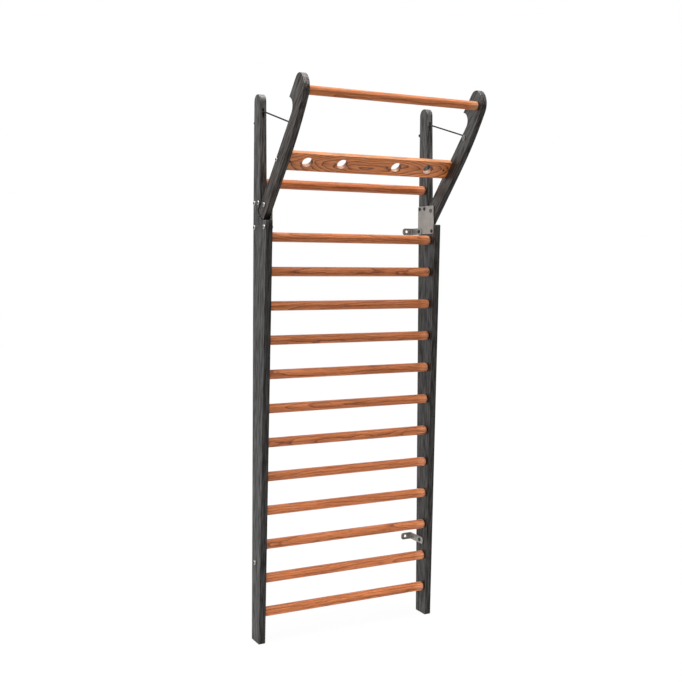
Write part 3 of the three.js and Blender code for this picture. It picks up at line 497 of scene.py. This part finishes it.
def carve(piece, cutters):
    """Cuts other shapes out of a piece and removes them."""
    for cutter in cutters:
        modifier = piece.modifiers.new("Carve", "BOOLEAN")
        modifier.operation = "DIFFERENCE"
        modifier.solver = "EXACT"
        modifier.object = cutter
    graph = bpy.context.evaluated_depsgraph_get()
    mesh = bpy.data.meshes.new_from_object(piece.evaluated_get(graph))
    piece.modifiers.clear()
    piece.data = mesh
    for cutter in cutters:
        bpy.data.objects.remove(cutter)
    weld(piece.data)


def turned(name, profile, origin, axis, segments=48):
    """Turns a profile of (radius, along) points about an axis. A negative radius makes a six-sided ring."""
    axis = Vector(axis).normalized()
    side = axis.orthogonal().normalized()
    other = axis.cross(side)
    work = bmesh.new()
    rings = []
    for radius, along in profile:
        centre = Vector(origin) + axis * along
        if radius == 0:
            rings.append([work.verts.new(centre)])
            continue
        ring = []
        for i in range(segments):
            angle = 2 * math.pi * i / segments
            reach = radius
            if radius < 0:
                reach = -radius / math.cos(angle % (math.pi / 3) - math.pi / 6)
            ring.append(work.verts.new(centre + (side * math.cos(angle) + other * math.sin(angle)) * reach))
        rings.append(ring)
    for first, second in zip(rings, rings[1:]):
        for i in range(segments):
            j = (i + 1) % segments
            around = ((first, i), (first, j), (second, j), (second, i))
            corners = [ring[k % len(ring)] for ring, k in around]
            work.faces.new(list(dict.fromkeys(corners)))
    bmesh.ops.recalc_face_normals(work, faces=work.faces)
    mesh = bpy.data.meshes.new(name)
    work.to_mesh(mesh)
    work.free()
    return link(name, mesh)


def arc(centre_radius, centre_along, radius, start, end, steps, stretch=1.0):
    """Points of a rounded corner in a turned profile, drawn out along the axis by a factor."""
    points = []
    for i in range(steps + 1):
        angle = math.radians(start + (end - start) * i / steps)
        rise = radius * stretch * math.sin(angle)
        points.append((centre_radius + radius * math.cos(angle), centre_along + rise))
    return points


def set_grain(piece, heart, along, shift, side=None):
    """Stores each point's place along the grain, moved by a shift, and about the heart of the tree."""
    along = Vector(along).normalized()
    side = side or along.orthogonal().normalized()
    other = along.cross(side)
    values = []
    for vertex in piece.data.vertices:
        offset = vertex.co - Vector(heart)
        values += [offset.dot(along) + shift, offset.dot(side), offset.dot(other)]
    attribute = piece.data.attributes.new("grain", "FLOAT_VECTOR", "POINT")
    attribute.data.foreach_set("vector", values)


def box_middle(node):
    """The middle and the size of a node's box."""
    low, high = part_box(node)
    return (low + high) / 2, high - low


# Uprights

UPRIGHT_CORNER = 0.005
SLOT_IN_FRONT = 0.01
SLOT_END_STEPS = 12

# The slots' walls behind the lip are painted lighter, as light inside the slot
SLOT_LIP = 0.0015
SLOT_MARGIN = 0.001
SLOT_WALL_LIGHT = 0.7


def slot_middle(side):
    """The middle of the mouth of an upright's slot."""
    return Vector((side * CABLE_X, CABLE_BEND.y, CABLE_BEND.z - SLOT_DROP))


def slot_cutter(side):
    """The long rounded slot that lets the stay cable out of the front edge."""
    loop = []
    for first_angle, height in ((0, SLOT_HALF_STRAIGHT), (math.pi, -SLOT_HALF_STRAIGHT)):
        for i in range(SLOT_END_STEPS + 1):
            angle = first_angle + math.pi * i / SLOT_END_STEPS
            loop.append((SLOT_HALF_WIDTH * math.cos(angle), height + SLOT_HALF_WIDTH * math.sin(angle)))
    work = bmesh.new()
    middle = slot_middle(side)
    front = [work.verts.new(middle + Vector((x, -SLOT_IN_FRONT, z))) for x, z in loop]
    back = [work.verts.new(middle + Vector((x, SLOT_DEPTH, z))) for x, z in loop]
    work.faces.new(front)
    work.faces.new(back)
    for i in range(len(loop)):
        j = (i + 1) % len(loop)
        work.faces.new((front[i], front[j], back[j], back[i]))
    bmesh.ops.recalc_face_normals(work, faces=work.faces)
    mesh = bpy.data.meshes.new("slot_cutter")
    work.to_mesh(mesh)
    work.free()
    return link("slot_cutter", mesh)


def make_upright(name, side):
    """A tapered board with rounded edges, a highlight painted on its top and light painted on the walls of a
    slot in its front edge.
    """
    node = "upright_" + name
    low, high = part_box(node)
    place = side_place(low.x, high.x)
    outline = ease_corners(side_outline(node), UPRIGHT_CORNER)
    piece = rounded_slab("ash_upright_" + name, [outline], high.x - low.x, WOOD_ROUND, place)
    carve(piece, [slot_cutter(side)])
    heart = ((low.x + high.x) / 2 + 0.05, -0.05, 0)
    along = (0.012, 0.006 * side, 1)
    set_grain(piece, heart, along, shift=3 + 2 * side)
    smooth(piece)
    settle(piece, STAINED_ASH[name], "stained_ash", node)
    paint_edge_shade_and_top_highlight(piece, STAINED_EDGES, TOP_HIGHLIGHT[name])
    # Light painted on the slot's walls behind the lip
    tone = piece.data.attributes["tone"]
    middle = slot_middle(side)
    half_width = SLOT_HALF_WIDTH + SLOT_MARGIN
    half_length = SLOT_HALF_STRAIGHT + half_width
    for face in piece.data.polygons:
        offset = face.center - middle
        within = abs(offset.x) < half_width and abs(offset.z) < half_length
        if within and SLOT_LIP < offset.y < SLOT_DEPTH + SLOT_MARGIN / 2:
            tone.data[face.index].value = SLOT_WALL_LIGHT


# Rungs and the pull-up bar

RUNG_COUNT = 13
TENON_RADIUS = 0.01
TENON_LENGTH = 0.015
SHOULDER_STEPS = 8
HEART_AWAY = 0.035
HEART_CHANGE = 0.01

# Length and falling off of the highlight painted on the right-hand end of each rung and the bar
END_HIGHLIGHT_LENGTH = 0.05
END_HIGHLIGHT_POWER = 1.5


def make_bar(name, node, material, round_over, stretch, tilt, turn, shift):
    """A turned bar with tenons and drawn-out round shoulders; turn sets where the tree's heart lay."""
    middle, size = box_middle(node)
    radius, tenon = size.z / 2, TENON_RADIUS
    end = size.x / 2
    shoulder = end - TENON_LENGTH
    profile = [(0, -end), (tenon, -end), (tenon, -shoulder)]
    run = round_over * stretch
    profile += arc(radius - round_over, -shoulder + run, round_over, -90, 0, SHOULDER_STEPS, stretch)
    profile += [(radius, shoulder - END_HIGHLIGHT_LENGTH)]
    profile += arc(radius - round_over, shoulder - run, round_over, 0, 90, SHOULDER_STEPS, stretch)
    profile += [(tenon, shoulder), (tenon, end), (0, end)]
    piece = turned(name, profile, middle, (1, 0, 0))
    away = HEART_AWAY + HEART_CHANGE * math.sin(3 * turn)
    offset = Vector((0, math.cos(turn), math.sin(turn))) * away
    along = (1, tilt * math.cos(2 * turn), tilt * math.sin(2 * turn))
    set_grain(piece, middle + offset, along, shift)
    smooth(piece)
    settle(piece, material, "rung_wood", node)
    # Painted highlight: paler and glossier towards the right-hand shoulder
    tone = piece.data.attributes.new("tone", "FLOAT", "POINT")
    for vertex in piece.data.vertices:
        inward = max(0, middle.x + shoulder - vertex.co.x)
        tone.data[vertex.index].value = max(0, 1 - inward / END_HIGHLIGHT_LENGTH) ** END_HIGHLIGHT_POWER


# Pull-up frame

ARM_CUT_REACH = 0.05
PIVOT_BORE_RADIUS = 0.0077
CABLE_BORE_RADIUS = 0.0035
CABLE_BORE_BEFORE = 0.06
CABLE_BORE_BEYOND = 0.008

# The grip board, its holes and the bores for its bolts, measured from the pivot of an upright frame
BOARD_END = 0.3427
BOARD_BOTTOM = 0.150
BOARD_TOP = 0.225
BOARD_THICKNESS = 0.018
BOARD_ROUND = 0.001
BOARD_EDGE_DEPTH = 0.0004
HOLE_PLACES = (-0.2505, -0.112, 0.112, 0.2505)
HOLE_HEIGHT = 0.1885
HOLE_RADIUS = 0.020
HOLE_STEPS = 48
HOLE_MARGIN = 0.0004
BARREL_X = 0.3197
BARREL_HEIGHT = 0.1875
BARREL_RADIUS = 0.0053
BARREL_REACH = 0.022


def round_cutter(start, end, radius):
    """A cylinder between two points."""
    gap = Vector(end) - Vector(start)
    profile = [(0, 0), (radius, 0), (radius, gap.length), (0, gap.length)]
    return turned("round_cutter", profile, start, gap, 32)


def make_arm(name, side):
    """A leaning arm, bored for its pivot and for the end of the stay cable."""
    node = "arm_" + name
    low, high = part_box(node)
    place = side_place(low.x, high.x)
    piece = rounded_slab("ash_arm_" + name, [side_outline(node)], high.x - low.x, WOOD_ROUND, place)
    across = Vector((ARM_CUT_REACH, 0, 0))
    pivot = Vector(((low.x + high.x) / 2, PIVOT.y, PIVOT.z))
    run = (CABLE_END - CABLE_BEND).normalized()
    cable_end = Vector((side * CABLE_X, 0, 0)) + CABLE_END
    bore_start = cable_end - run * CABLE_BORE_BEFORE
    bore_end = cable_end + run * CABLE_BORE_BEYOND
    cutters = [
        round_cutter(pivot - across, pivot + across, PIVOT_BORE_RADIUS),
        round_cutter(bore_start, bore_end, CABLE_BORE_RADIUS),
    ]
    carve(piece, cutters)
    heart = pivot + Vector((0.045, 0.03, 0))
    along = LEAN_UP + Vector((0.012 * side, 0, 0.004))
    set_grain(piece, heart, along, shift=8 + 2 * side)
    smooth(piece)
    settle(piece, ARM_SIDES[name], "stained_ash", node)
    paint_edge_shade_and_top_highlight(piece, ARM_EDGES[name], TOP_HIGHLIGHT[name])


def make_board():
    """The board with four grip holes; its long edges and its hole walls have colours of their own.
    The walls are paler, partly their own colour and partly painted light, and darker where they face along
    the board, partly end grain and partly painted shade.
    """
    end, bottom, top = BOARD_END, BOARD_BOTTOM, BOARD_TOP
    loops = [[(-end, bottom), (end, bottom), (end, top), (-end, top)]]
    for middle in HOLE_PLACES:
        hole = []
        for i in range(HOLE_STEPS):
            angle = -2 * math.pi * i / HOLE_STEPS
            x = middle + HOLE_RADIUS * math.cos(angle)
            hole.append((x, HOLE_HEIGHT + HOLE_RADIUS * math.sin(angle)))
        loops.append(hole)
    facing = Matrix(((1, 0, 0, 0), (0, 0, -1, BOARD_THICKNESS), (0, 1, 0, 0), (0, 0, 0, 1)))
    piece = rounded_slab("ash_grip_board", loops, BOARD_THICKNESS, BOARD_ROUND, LEAN @ facing)
    cutters = []
    for side in (-1, 1):
        mouth = LEAN @ Vector((side * BARREL_X, 0.0, BARREL_HEIGHT))
        bottom_of_bore = LEAN @ Vector((side * BARREL_X, BARREL_REACH, BARREL_HEIGHT))
        cutters.append(round_cutter(mouth, bottom_of_bore, BARREL_RADIUS))
    carve(piece, cutters)
    heart = LEAN @ Vector((0.02, 0.02, 0.183))
    set_grain(piece, heart, (1, 0, 0), shift=0, side=LEAN_UP)
    smooth(piece)
    settle(piece, BOARD_WOOD, "board_wood", "grip_board")
    piece.data.materials.append(BORED_WOOD)
    piece.data.materials.append(EDGE_WOOD)
    upright_again = LEAN.inverted()
    tone = piece.data.attributes.new("tone", "FLOAT", "FACE")
    for face in piece.data.polygons:
        spot = upright_again @ face.center
        if min(spot.z - bottom, top - spot.z) < BOARD_EDGE_DEPTH:
            face.material_index = 2
        for middle in HOLE_PLACES:
            if math.hypot(spot.x - middle, spot.z - HOLE_HEIGHT) < HOLE_RADIUS + HOLE_MARGIN:
                face.material_index = 1
                # Darker where the wall faces along the board: end grain, partly painted shade
                tone.data[face.index].value = face.normal.x ** 4


# Steel

PLATE_ROUND = 0.0006
STRIP_ROUND = 0.0005

# Button heads with hexagon sockets
HEAD_HEIGHT = 0.004
SOCKET_DEPTH = 0.0026
SOCKET_CHAMFER = 0.0002
HEAD_FLAT_SHARE = 0.55
HEAD_DOME_SHARE = 0.43
HEAD_DOME_STEPS = 6
HEAD_RIM = 0.0012
SOCKET_REACH = 0.58
PLATE_BOLT_SHANK = 0.008
PLATE_BOLT_SOCKET = 0.008
BOARD_BOLT_SHANK = 0.006
BOARD_BOLT_SOCKET = 0.0065
RIVET_SOCKET = 0.008
RIVET_SHANK_RADIUS = 0.005
NUT_RIM = 0.0018
NUT_DOME_STEPS = 6

# The rivet's hollow tail as pairs of radius and height above its end
RIVET_TAIL_RISE = 0.0015
RIVET_TAIL = (
    (0.0075, RIVET_TAIL_RISE), (0.0075, 0.0006), (0.0069, 0), (0.0044, 0), (0.0040, 0.0012), (0.0036, 0.004),
    (0, 0.004))

# The stay anchor's bevelled rim as pairs of inset and drop, and its dimple as pairs of radius and drop
ANCHOR_RIM = ((0, 0.0019), (0.0003, 0.0016), (0.0038, 0.0003), (0.0046, 0))
ANCHOR_DIMPLE = ((0.004, 0), (0.0034, 0.0008), (0, 0.0008))
# How far a face must turn to the front to take the painted shade
ANCHOR_SHADE_FROM = 0.15

# The stay stop as pairs of radius and distance from the cable's tail
FERRULE = (
    (0, 0.0003), (0.0062, 0.0003), (0.0065, 0.0008), (0.0065, 0.0065), (0.0058, 0.0075), (0.0058, 0.0125),
    (0.0065, 0.0135), (0.0065, 0.019), (0.0062, 0.0206), (0.0053, 0.0220), (0.0040, 0.0229), (0, 0.0229))

# The wire rope
STRANDS = 6
LAY_LENGTH = 0.026
ROPE_VALLEY = 0.94
ROPE_RISE = 0.08
ROPE_RING = 24
TAIL_OVERLAP = 0.004
TAIL_STEPS = 24
BEND_STEPS = 12
FREE_STEPS = 120


def make_plate(name):
    """A hinge plate with softened edges."""
    node = "hinge_plate_" + name
    low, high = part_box(node)
    place = side_place(low.x, high.x)
    outline = side_outline(node)
    piece = rounded_slab("steel_hinge_plate_" + name, [outline], high.x - low.x, PLATE_ROUND, place)
    smooth(piece)
    settle(piece, PLATE_STEEL, "plate_steel", node)


def make_bracket(node):
    """A bent strip with softened edges."""
    mesh = nodes[node].data.copy()
    weld(mesh)
    piece = link("steel_" + node, mesh)
    edge = piece.modifiers.new("Edge", "BEVEL")
    edge.limit_method = "ANGLE"
    edge.angle_limit = math.radians(40)
    edge.width = STRIP_ROUND
    edge.segments = 2
    smooth(piece)
    settle(piece, STRIP_STEEL, "strip_steel", node)


def head_profile(top, head, socket):
    """A button head with a hexagon socket, from the bottom of the socket to the head's underside."""
    under = top - HEAD_HEIGHT
    bottom = top - SOCKET_DEPTH
    profile = [(0, bottom), (-socket / 2, bottom), (-socket / 2, top - SOCKET_CHAMFER)]
    profile += [(head * HEAD_FLAT_SHARE, top)]
    for i in range(1, HEAD_DOME_STEPS):
        angle = math.radians(90 * i / HEAD_DOME_STEPS)
        bulge = head * (HEAD_FLAT_SHARE + HEAD_DOME_SHARE * math.sin(angle))
        profile.append((bulge, under + HEAD_RIM + (HEAD_HEIGHT - HEAD_RIM) * math.cos(angle)))
    profile += [(head, under + HEAD_RIM), (head, under + SOCKET_CHAMFER), (head - SOCKET_CHAMFER, under)]
    return profile


def make_bolt(node, shank, socket):
    """A button-head bolt; its head is on the outer side."""
    middle, size = box_middle(node)
    side = -1 if middle.x < 0 else 1
    top = size.x / 2
    profile = head_profile(top, size.z / 2, socket)
    profile += [(shank / 2, top - HEAD_HEIGHT), (shank / 2, -top), (0, -top)]
    piece = turned("steel_" + node, profile, middle, (side, 0, 0))
    smooth(piece)
    settle(piece, BOLT_STEEL, "bolt_steel", node)
    shade_socket(piece, middle, socket)


def shade_socket(piece, middle, socket):
    """Paints the walls and the bottom of a head's socket dark steel, as painted shade in the hollow."""
    piece.data.materials.append(DARK_STEEL)
    for face in piece.data.polygons:
        offset = face.center - middle
        if math.hypot(offset.y, offset.z) < socket * SOCKET_REACH and offset.x * middle.x > 0:
            face.material_index = 1


def make_nut(node):
    """A low domed cap nut; its dome is on the inner side."""
    middle, size = box_middle(node)
    side = 1 if middle.x < 0 else -1
    half, radius = size.x / 2, size.z / 2
    profile = [(0, -half), (radius, -half), (radius, -half + NUT_RIM)]
    for i in range(1, NUT_DOME_STEPS + 1):
        angle = math.radians(90 * i / NUT_DOME_STEPS)
        rise = (2 * half - NUT_RIM) * math.sin(angle)
        profile.append((radius * math.cos(angle), -half + NUT_RIM + rise))
    profile[-1] = (0, half)
    piece = turned("steel_" + node, profile, middle, (side, 0, 0))
    smooth(piece)
    settle(piece, DARK_STEEL, "dark_steel", node)


def make_rivet(node):
    """The pivot: a button head outside the arm and a hollow tail set over the plate."""
    middle, size = box_middle(node)
    side = -1 if middle.x < 0 else 1
    top, shank = size.x / 2, RIVET_SHANK_RADIUS
    profile = head_profile(top, size.z / 2, RIVET_SOCKET)
    profile += [(shank, top - HEAD_HEIGHT), (shank, -top + RIVET_TAIL_RISE)]
    profile += [(radius, -top + rise) for radius, rise in RIVET_TAIL]
    piece = turned("steel_" + node, profile, middle, (side, 0, 0))
    smooth(piece)
    settle(piece, BOLT_STEEL, "bolt_steel", node)
    shade_socket(piece, middle, RIVET_SOCKET)
    for face in piece.data.polygons:
        if abs(face.center.x) < abs(middle.x):
            face.material_index = 1


def make_anchor(node):
    """The cross dowel that holds the front end of the stay cable; its bevel is painted dark on the front, as
    shade.
    """
    middle, size = box_middle(node)
    side = 1 if middle.x < 0 else -1
    half, radius = size.x / 2, size.z / 2
    profile = [(0, -half), (radius, -half)]
    profile += [(radius - inset, half - drop) for inset, drop in ANCHOR_RIM]
    profile += [(reach, half - drop) for reach, drop in ANCHOR_DIMPLE]
    piece = turned("steel_" + node, profile, middle, (side, 0, 0))
    smooth(piece)
    settle(piece, ANCHOR_STEEL, "dark_steel", node)
    piece.data.materials.append(DARK_STEEL)
    for face in piece.data.polygons:
        if face.normal.y < -ANCHOR_SHADE_FROM:
            face.material_index = 1


def make_stop(name, side):
    """The crimped ferrule on the rear end of the stay cable."""
    tail = CABLE_TAIL + Vector((side * CABLE_X, 0, 0))
    piece = turned("steel_stay_stop_" + name, FERRULE, tail, (0, 1, 0), 32)
    smooth(piece)
    settle(piece, DARK_STEEL, "dark_steel", "stay_stop_" + name)


def cable_points():
    """Points along the stay cable: up through the bore, round the bend, out to the arm."""
    back = (CABLE_TAIL - CABLE_BEND).normalized()
    out = (CABLE_END - CABLE_BEND).normalized()
    start = CABLE_TAIL - back * TAIL_OVERLAP
    first = CABLE_BEND + back * CABLE_BEND_RUN
    last = CABLE_BEND + out * CABLE_BEND_RUN
    points = [start.lerp(first, i / TAIL_STEPS) for i in range(TAIL_STEPS)]
    for i in range(BEND_STEPS + 1):
        t = i / BEND_STEPS
        points.append(first.lerp(CABLE_BEND, t).lerp(CABLE_BEND.lerp(last, t), t))
    points += [last.lerp(CABLE_END, i / FREE_STEPS) for i in range(1, FREE_STEPS + 1)]
    return points, out


def make_cable(name, side):
    """Six-stranded wire rope, with the lay of its strands, and a highlight painted on it where it bends."""
    points, out = cable_points()
    across = Vector((1, 0, 0))
    work = bmesh.new()
    rings, travelled = [], 0.0
    for i, point in enumerate(points):
        ahead = points[min(i + 1, len(points) - 1)] - points[max(i - 1, 0)]
        other = ahead.normalized().cross(across)
        if i:
            travelled += (point - points[i - 1]).length
        centre = point + Vector((side * CABLE_X, 0, 0))
        ring = []
        for k in range(ROPE_RING):
            angle = 2 * math.pi * k / ROPE_RING
            lobe = abs(math.cos(STRANDS / 2 * (angle - 2 * math.pi * travelled / LAY_LENGTH)))
            reach = CABLE_RADIUS * (ROPE_VALLEY + ROPE_RISE * lobe)
            spoke = across * math.cos(angle) + other * math.sin(angle)
            ring.append(work.verts.new(centre + spoke * reach))
        rings.append(ring)
    for first, second in zip(rings, rings[1:]):
        for k in range(ROPE_RING):
            j = (k + 1) % ROPE_RING
            work.faces.new((first[k], first[j], second[j], second[k]))
    work.faces.new(rings[0])
    work.faces.new(rings[-1])
    bmesh.ops.recalc_face_normals(work, faces=work.faces)
    mesh = bpy.data.meshes.new("steel_stay_cable_" + name)
    work.to_mesh(mesh)
    work.free()
    piece = link("steel_stay_cable_" + name, mesh)
    mesh.polygons.foreach_set("use_smooth", [True] * len(mesh.polygons))
    settle(piece, CABLE_STEEL, "cable_steel", "stay_cable_" + name)
    # Painted highlight on the stretch round the bend
    anchor = CABLE_BEND + Vector((side * CABLE_X, 0, 0))
    mesh.materials.append(BOLT_STEEL)
    for face in mesh.polygons:
        if (face.center - anchor).length < CABLE_BEND_RUN:
            face.material_index = 1
    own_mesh(piece)


def keep_node(node, material):
    """A CAD node whose shape is right keeps it, with a better finish."""
    mesh = nodes[node].data
    mesh.materials.clear()
    mesh.materials.append(material)


PLATE_BOLTS = ("plate_top_rear", "plate_top_middle", "plate_foot_rear", "plate_foot_front", "lower_bracket")

for i in range(RUNG_COUNT):
    node = f"rung_{i + 1:02d}"
    make_bar("wood_" + node, node, RUNG_WOOD, round_over=0.0074, stretch=1.6, tilt=0.03, turn=1.1 + 2.4 * i,
             shift=0.9 * i)
make_bar("wood_pull_up_bar", "pull_up_bar", BAR_WOOD, round_over=0.006, stretch=1.2, tilt=0.025, turn=4.0,
         shift=14.0)
make_board()
for side_name, side in SIDES:
    make_upright(side_name, side)
    make_arm(side_name, side)
    make_plate(side_name)
    make_bracket("upper_wall_bracket_" + side_name)
    make_bracket("lower_wall_bracket_" + side_name)
    for place in PLATE_BOLTS:
        make_bolt(f"{place}_bolt_{side_name}", PLATE_BOLT_SHANK, PLATE_BOLT_SOCKET)
        make_nut(f"{place}_nut_{side_name}")
    make_bolt("board_bolt_" + side_name, BOARD_BOLT_SHANK, BOARD_BOLT_SOCKET)
    make_rivet("pivot_rivet_" + side_name)
    make_anchor("stay_anchor_" + side_name)
    make_stop(side_name, side)
    make_cable(side_name, side)
    keep_node("pivot_bush_" + side_name, BUSH_BRASS)
    keep_node("barrel_nut_" + side_name, DARK_STEEL)


# Floor, light and camera

FLOOR_RADIUS = 14
FLOOR_SINK = 0.0005

# Where the key light comes from, where the camera stands, and its yaw, pitch and roll in degrees
KEY_FROM = Vector((-0.06, -0.11, 0.99))
CAMERA_PLACE = (-1.76237, -3.45228, 1.38202)
CAMERA_ANGLES = (27.2731, 1.2518, 0.3276)


def either(tree, first, second):
    """1 for rays of either of two kinds."""
    return add(tree, "Math", {0: first, 1: second}, operation="MAXIMUM").outputs[0]


def make_floor():
    """White as seen, and a grey that darkens outward for the light that it throws back."""
    work = bmesh.new()
    bmesh.ops.create_circle(work, cap_ends=True, segments=96, radius=FLOOR_RADIUS)
    mesh = bpy.data.meshes.new("floor")
    work.to_mesh(mesh)
    work.free()
    floor = link("floor", mesh)
    floor.location.z = -FLOOR_SINK
    material = bpy.data.materials.new("pale_floor")
    material.use_nodes = True
    tree = material.node_tree
    tree.nodes.clear()
    place = add(tree, "TexCoord", {}).outputs["Object"]
    distance = add(tree, "VectorMath", {0: place}, operation="LENGTH").outputs["Value"]
    outward = span(tree, distance, 0, 3, 0, 1)
    bounce = ramp(tree, outward, [(0.25, (0.8, 0.8, 0.8)), (0.9, (0.10, 0.10, 0.10))])
    lit = add(tree, "BsdfDiffuse", {"Color": bounce}).outputs[0]
    paper = add(tree, "BsdfDiffuse", {"Color": (0.9, 0.9, 0.9, 1)}).outputs[0]
    glow = add(tree, "Emission", {"Color": (1, 1, 1, 1), "Strength": 1.0}).outputs[0]
    shown = add(tree, "MixShader", {0: 0.05, 1: glow, 2: paper}).outputs[0]
    path = add(tree, "LightPath", {})
    seen = either(tree, path.outputs["Is Camera Ray"], path.outputs["Is Glossy Ray"])
    seen = either(tree, seen, path.outputs["Is Transmission Ray"])
    mixed = add(tree, "MixShader", {0: seen, 1: lit, 2: shown}).outputs[0]
    output = tree.nodes.new("ShaderNodeOutputMaterial")
    tree.links.new(mixed, output.inputs["Surface"])
    mesh.materials.append(material)


def make_world():
    """White to look at, with a soft light on surfaces.

    Mirrors show a white backdrop behind the object and a dark room with a bright ceiling in front of it.
    """
    world = bpy.data.worlds.new("studio")
    world.use_nodes = True
    tree = world.node_tree
    tree.nodes.clear()
    toward = add(tree, "TexCoord", {}).outputs["Generated"]
    axes = add(tree, "SeparateXYZ", {0: toward})
    behind = span(tree, axes.outputs["Y"], -0.35, 0.25, 0, 1)
    up = axes.outputs["Z"]
    overhead = ramp(tree, up, [(0.02, (0.05, 0.05, 0.05)), (0.2, (CEILING, CEILING, CEILING))])
    backdrop = ramp(tree, up, [(0.0, (0.92, 0.92, 0.92)), (0.2, (1.3, 1.3, 1.3))])
    room = add(tree, "Mix", {0: behind, 6: overhead, 7: backdrop}, data_type="RGBA").outputs[2]
    height = span(tree, up, -0.2, 0.8, 0, 1)
    sky = ramp(tree, height, [(0.0, (0.62, 0.63, 0.65)), (1.0, (1.30, 1.31, 1.33))])
    path = add(tree, "LightPath", {})
    mirrored = either(tree, path.outputs["Is Glossy Ray"], path.outputs["Is Transmission Ray"])
    soft = add(tree, "Background", {"Color": sky, "Strength": AMBIENT}).outputs[0]
    studio = add(tree, "Background", {"Color": room, "Strength": 1.0}).outputs[0]
    white = add(tree, "Background", {"Color": (1, 1, 1, 1), "Strength": 1.0}).outputs[0]
    mixed = add(tree, "MixShader", {0: mirrored, 1: soft, 2: studio}).outputs[0]
    mixed = add(tree, "MixShader", {0: path.outputs["Is Camera Ray"], 1: mixed, 2: white}).outputs[0]
    output = tree.nodes.new("ShaderNodeOutputWorld")
    tree.links.new(mixed, output.inputs["Surface"])
    bpy.context.scene.world = world


def make_key_light():
    """A wide sun from almost straight above, a little from the front."""
    light = bpy.data.lights.new("key", "SUN")
    light.energy = KEY
    light.angle = math.radians(30)
    lamp = link("key", light)
    lamp.rotation_euler = KEY_FROM.to_track_quat("Z", "Y").to_euler()


def make_camera():
    """Stands in front of the bars, to the left, with its picture shifted."""
    data = bpy.data.cameras.new("camera")
    data.sensor_width = 36
    data.sensor_fit = "HORIZONTAL"
    data.lens = 52.69
    data.shift_y = -0.07776
    data.clip_end = 60
    camera = link("camera", data)
    yaw, pitch, roll = (math.radians(v) for v in CAMERA_ANGLES)
    forward = Vector((math.sin(yaw), math.cos(yaw), 0))
    right = Vector((math.cos(yaw), -math.sin(yaw), 0))
    up = Vector((0, 0, 1))
    view = forward * math.cos(pitch) - up * math.sin(pitch)
    above = forward * math.sin(pitch) + up * math.cos(pitch)
    axis_x = right * math.cos(roll) + above * math.sin(roll)
    axis_y = above * math.cos(roll) - right * math.sin(roll)
    turn = Matrix((axis_x, axis_y, -view)).transposed().to_4x4()
    camera.matrix_world = Matrix.Translation(CAMERA_PLACE) @ turn
    bpy.context.scene.camera = camera


make_floor()
make_world()
make_key_light()
make_camera()
bpy.context.scene.view_settings.view_transform = "Standard"
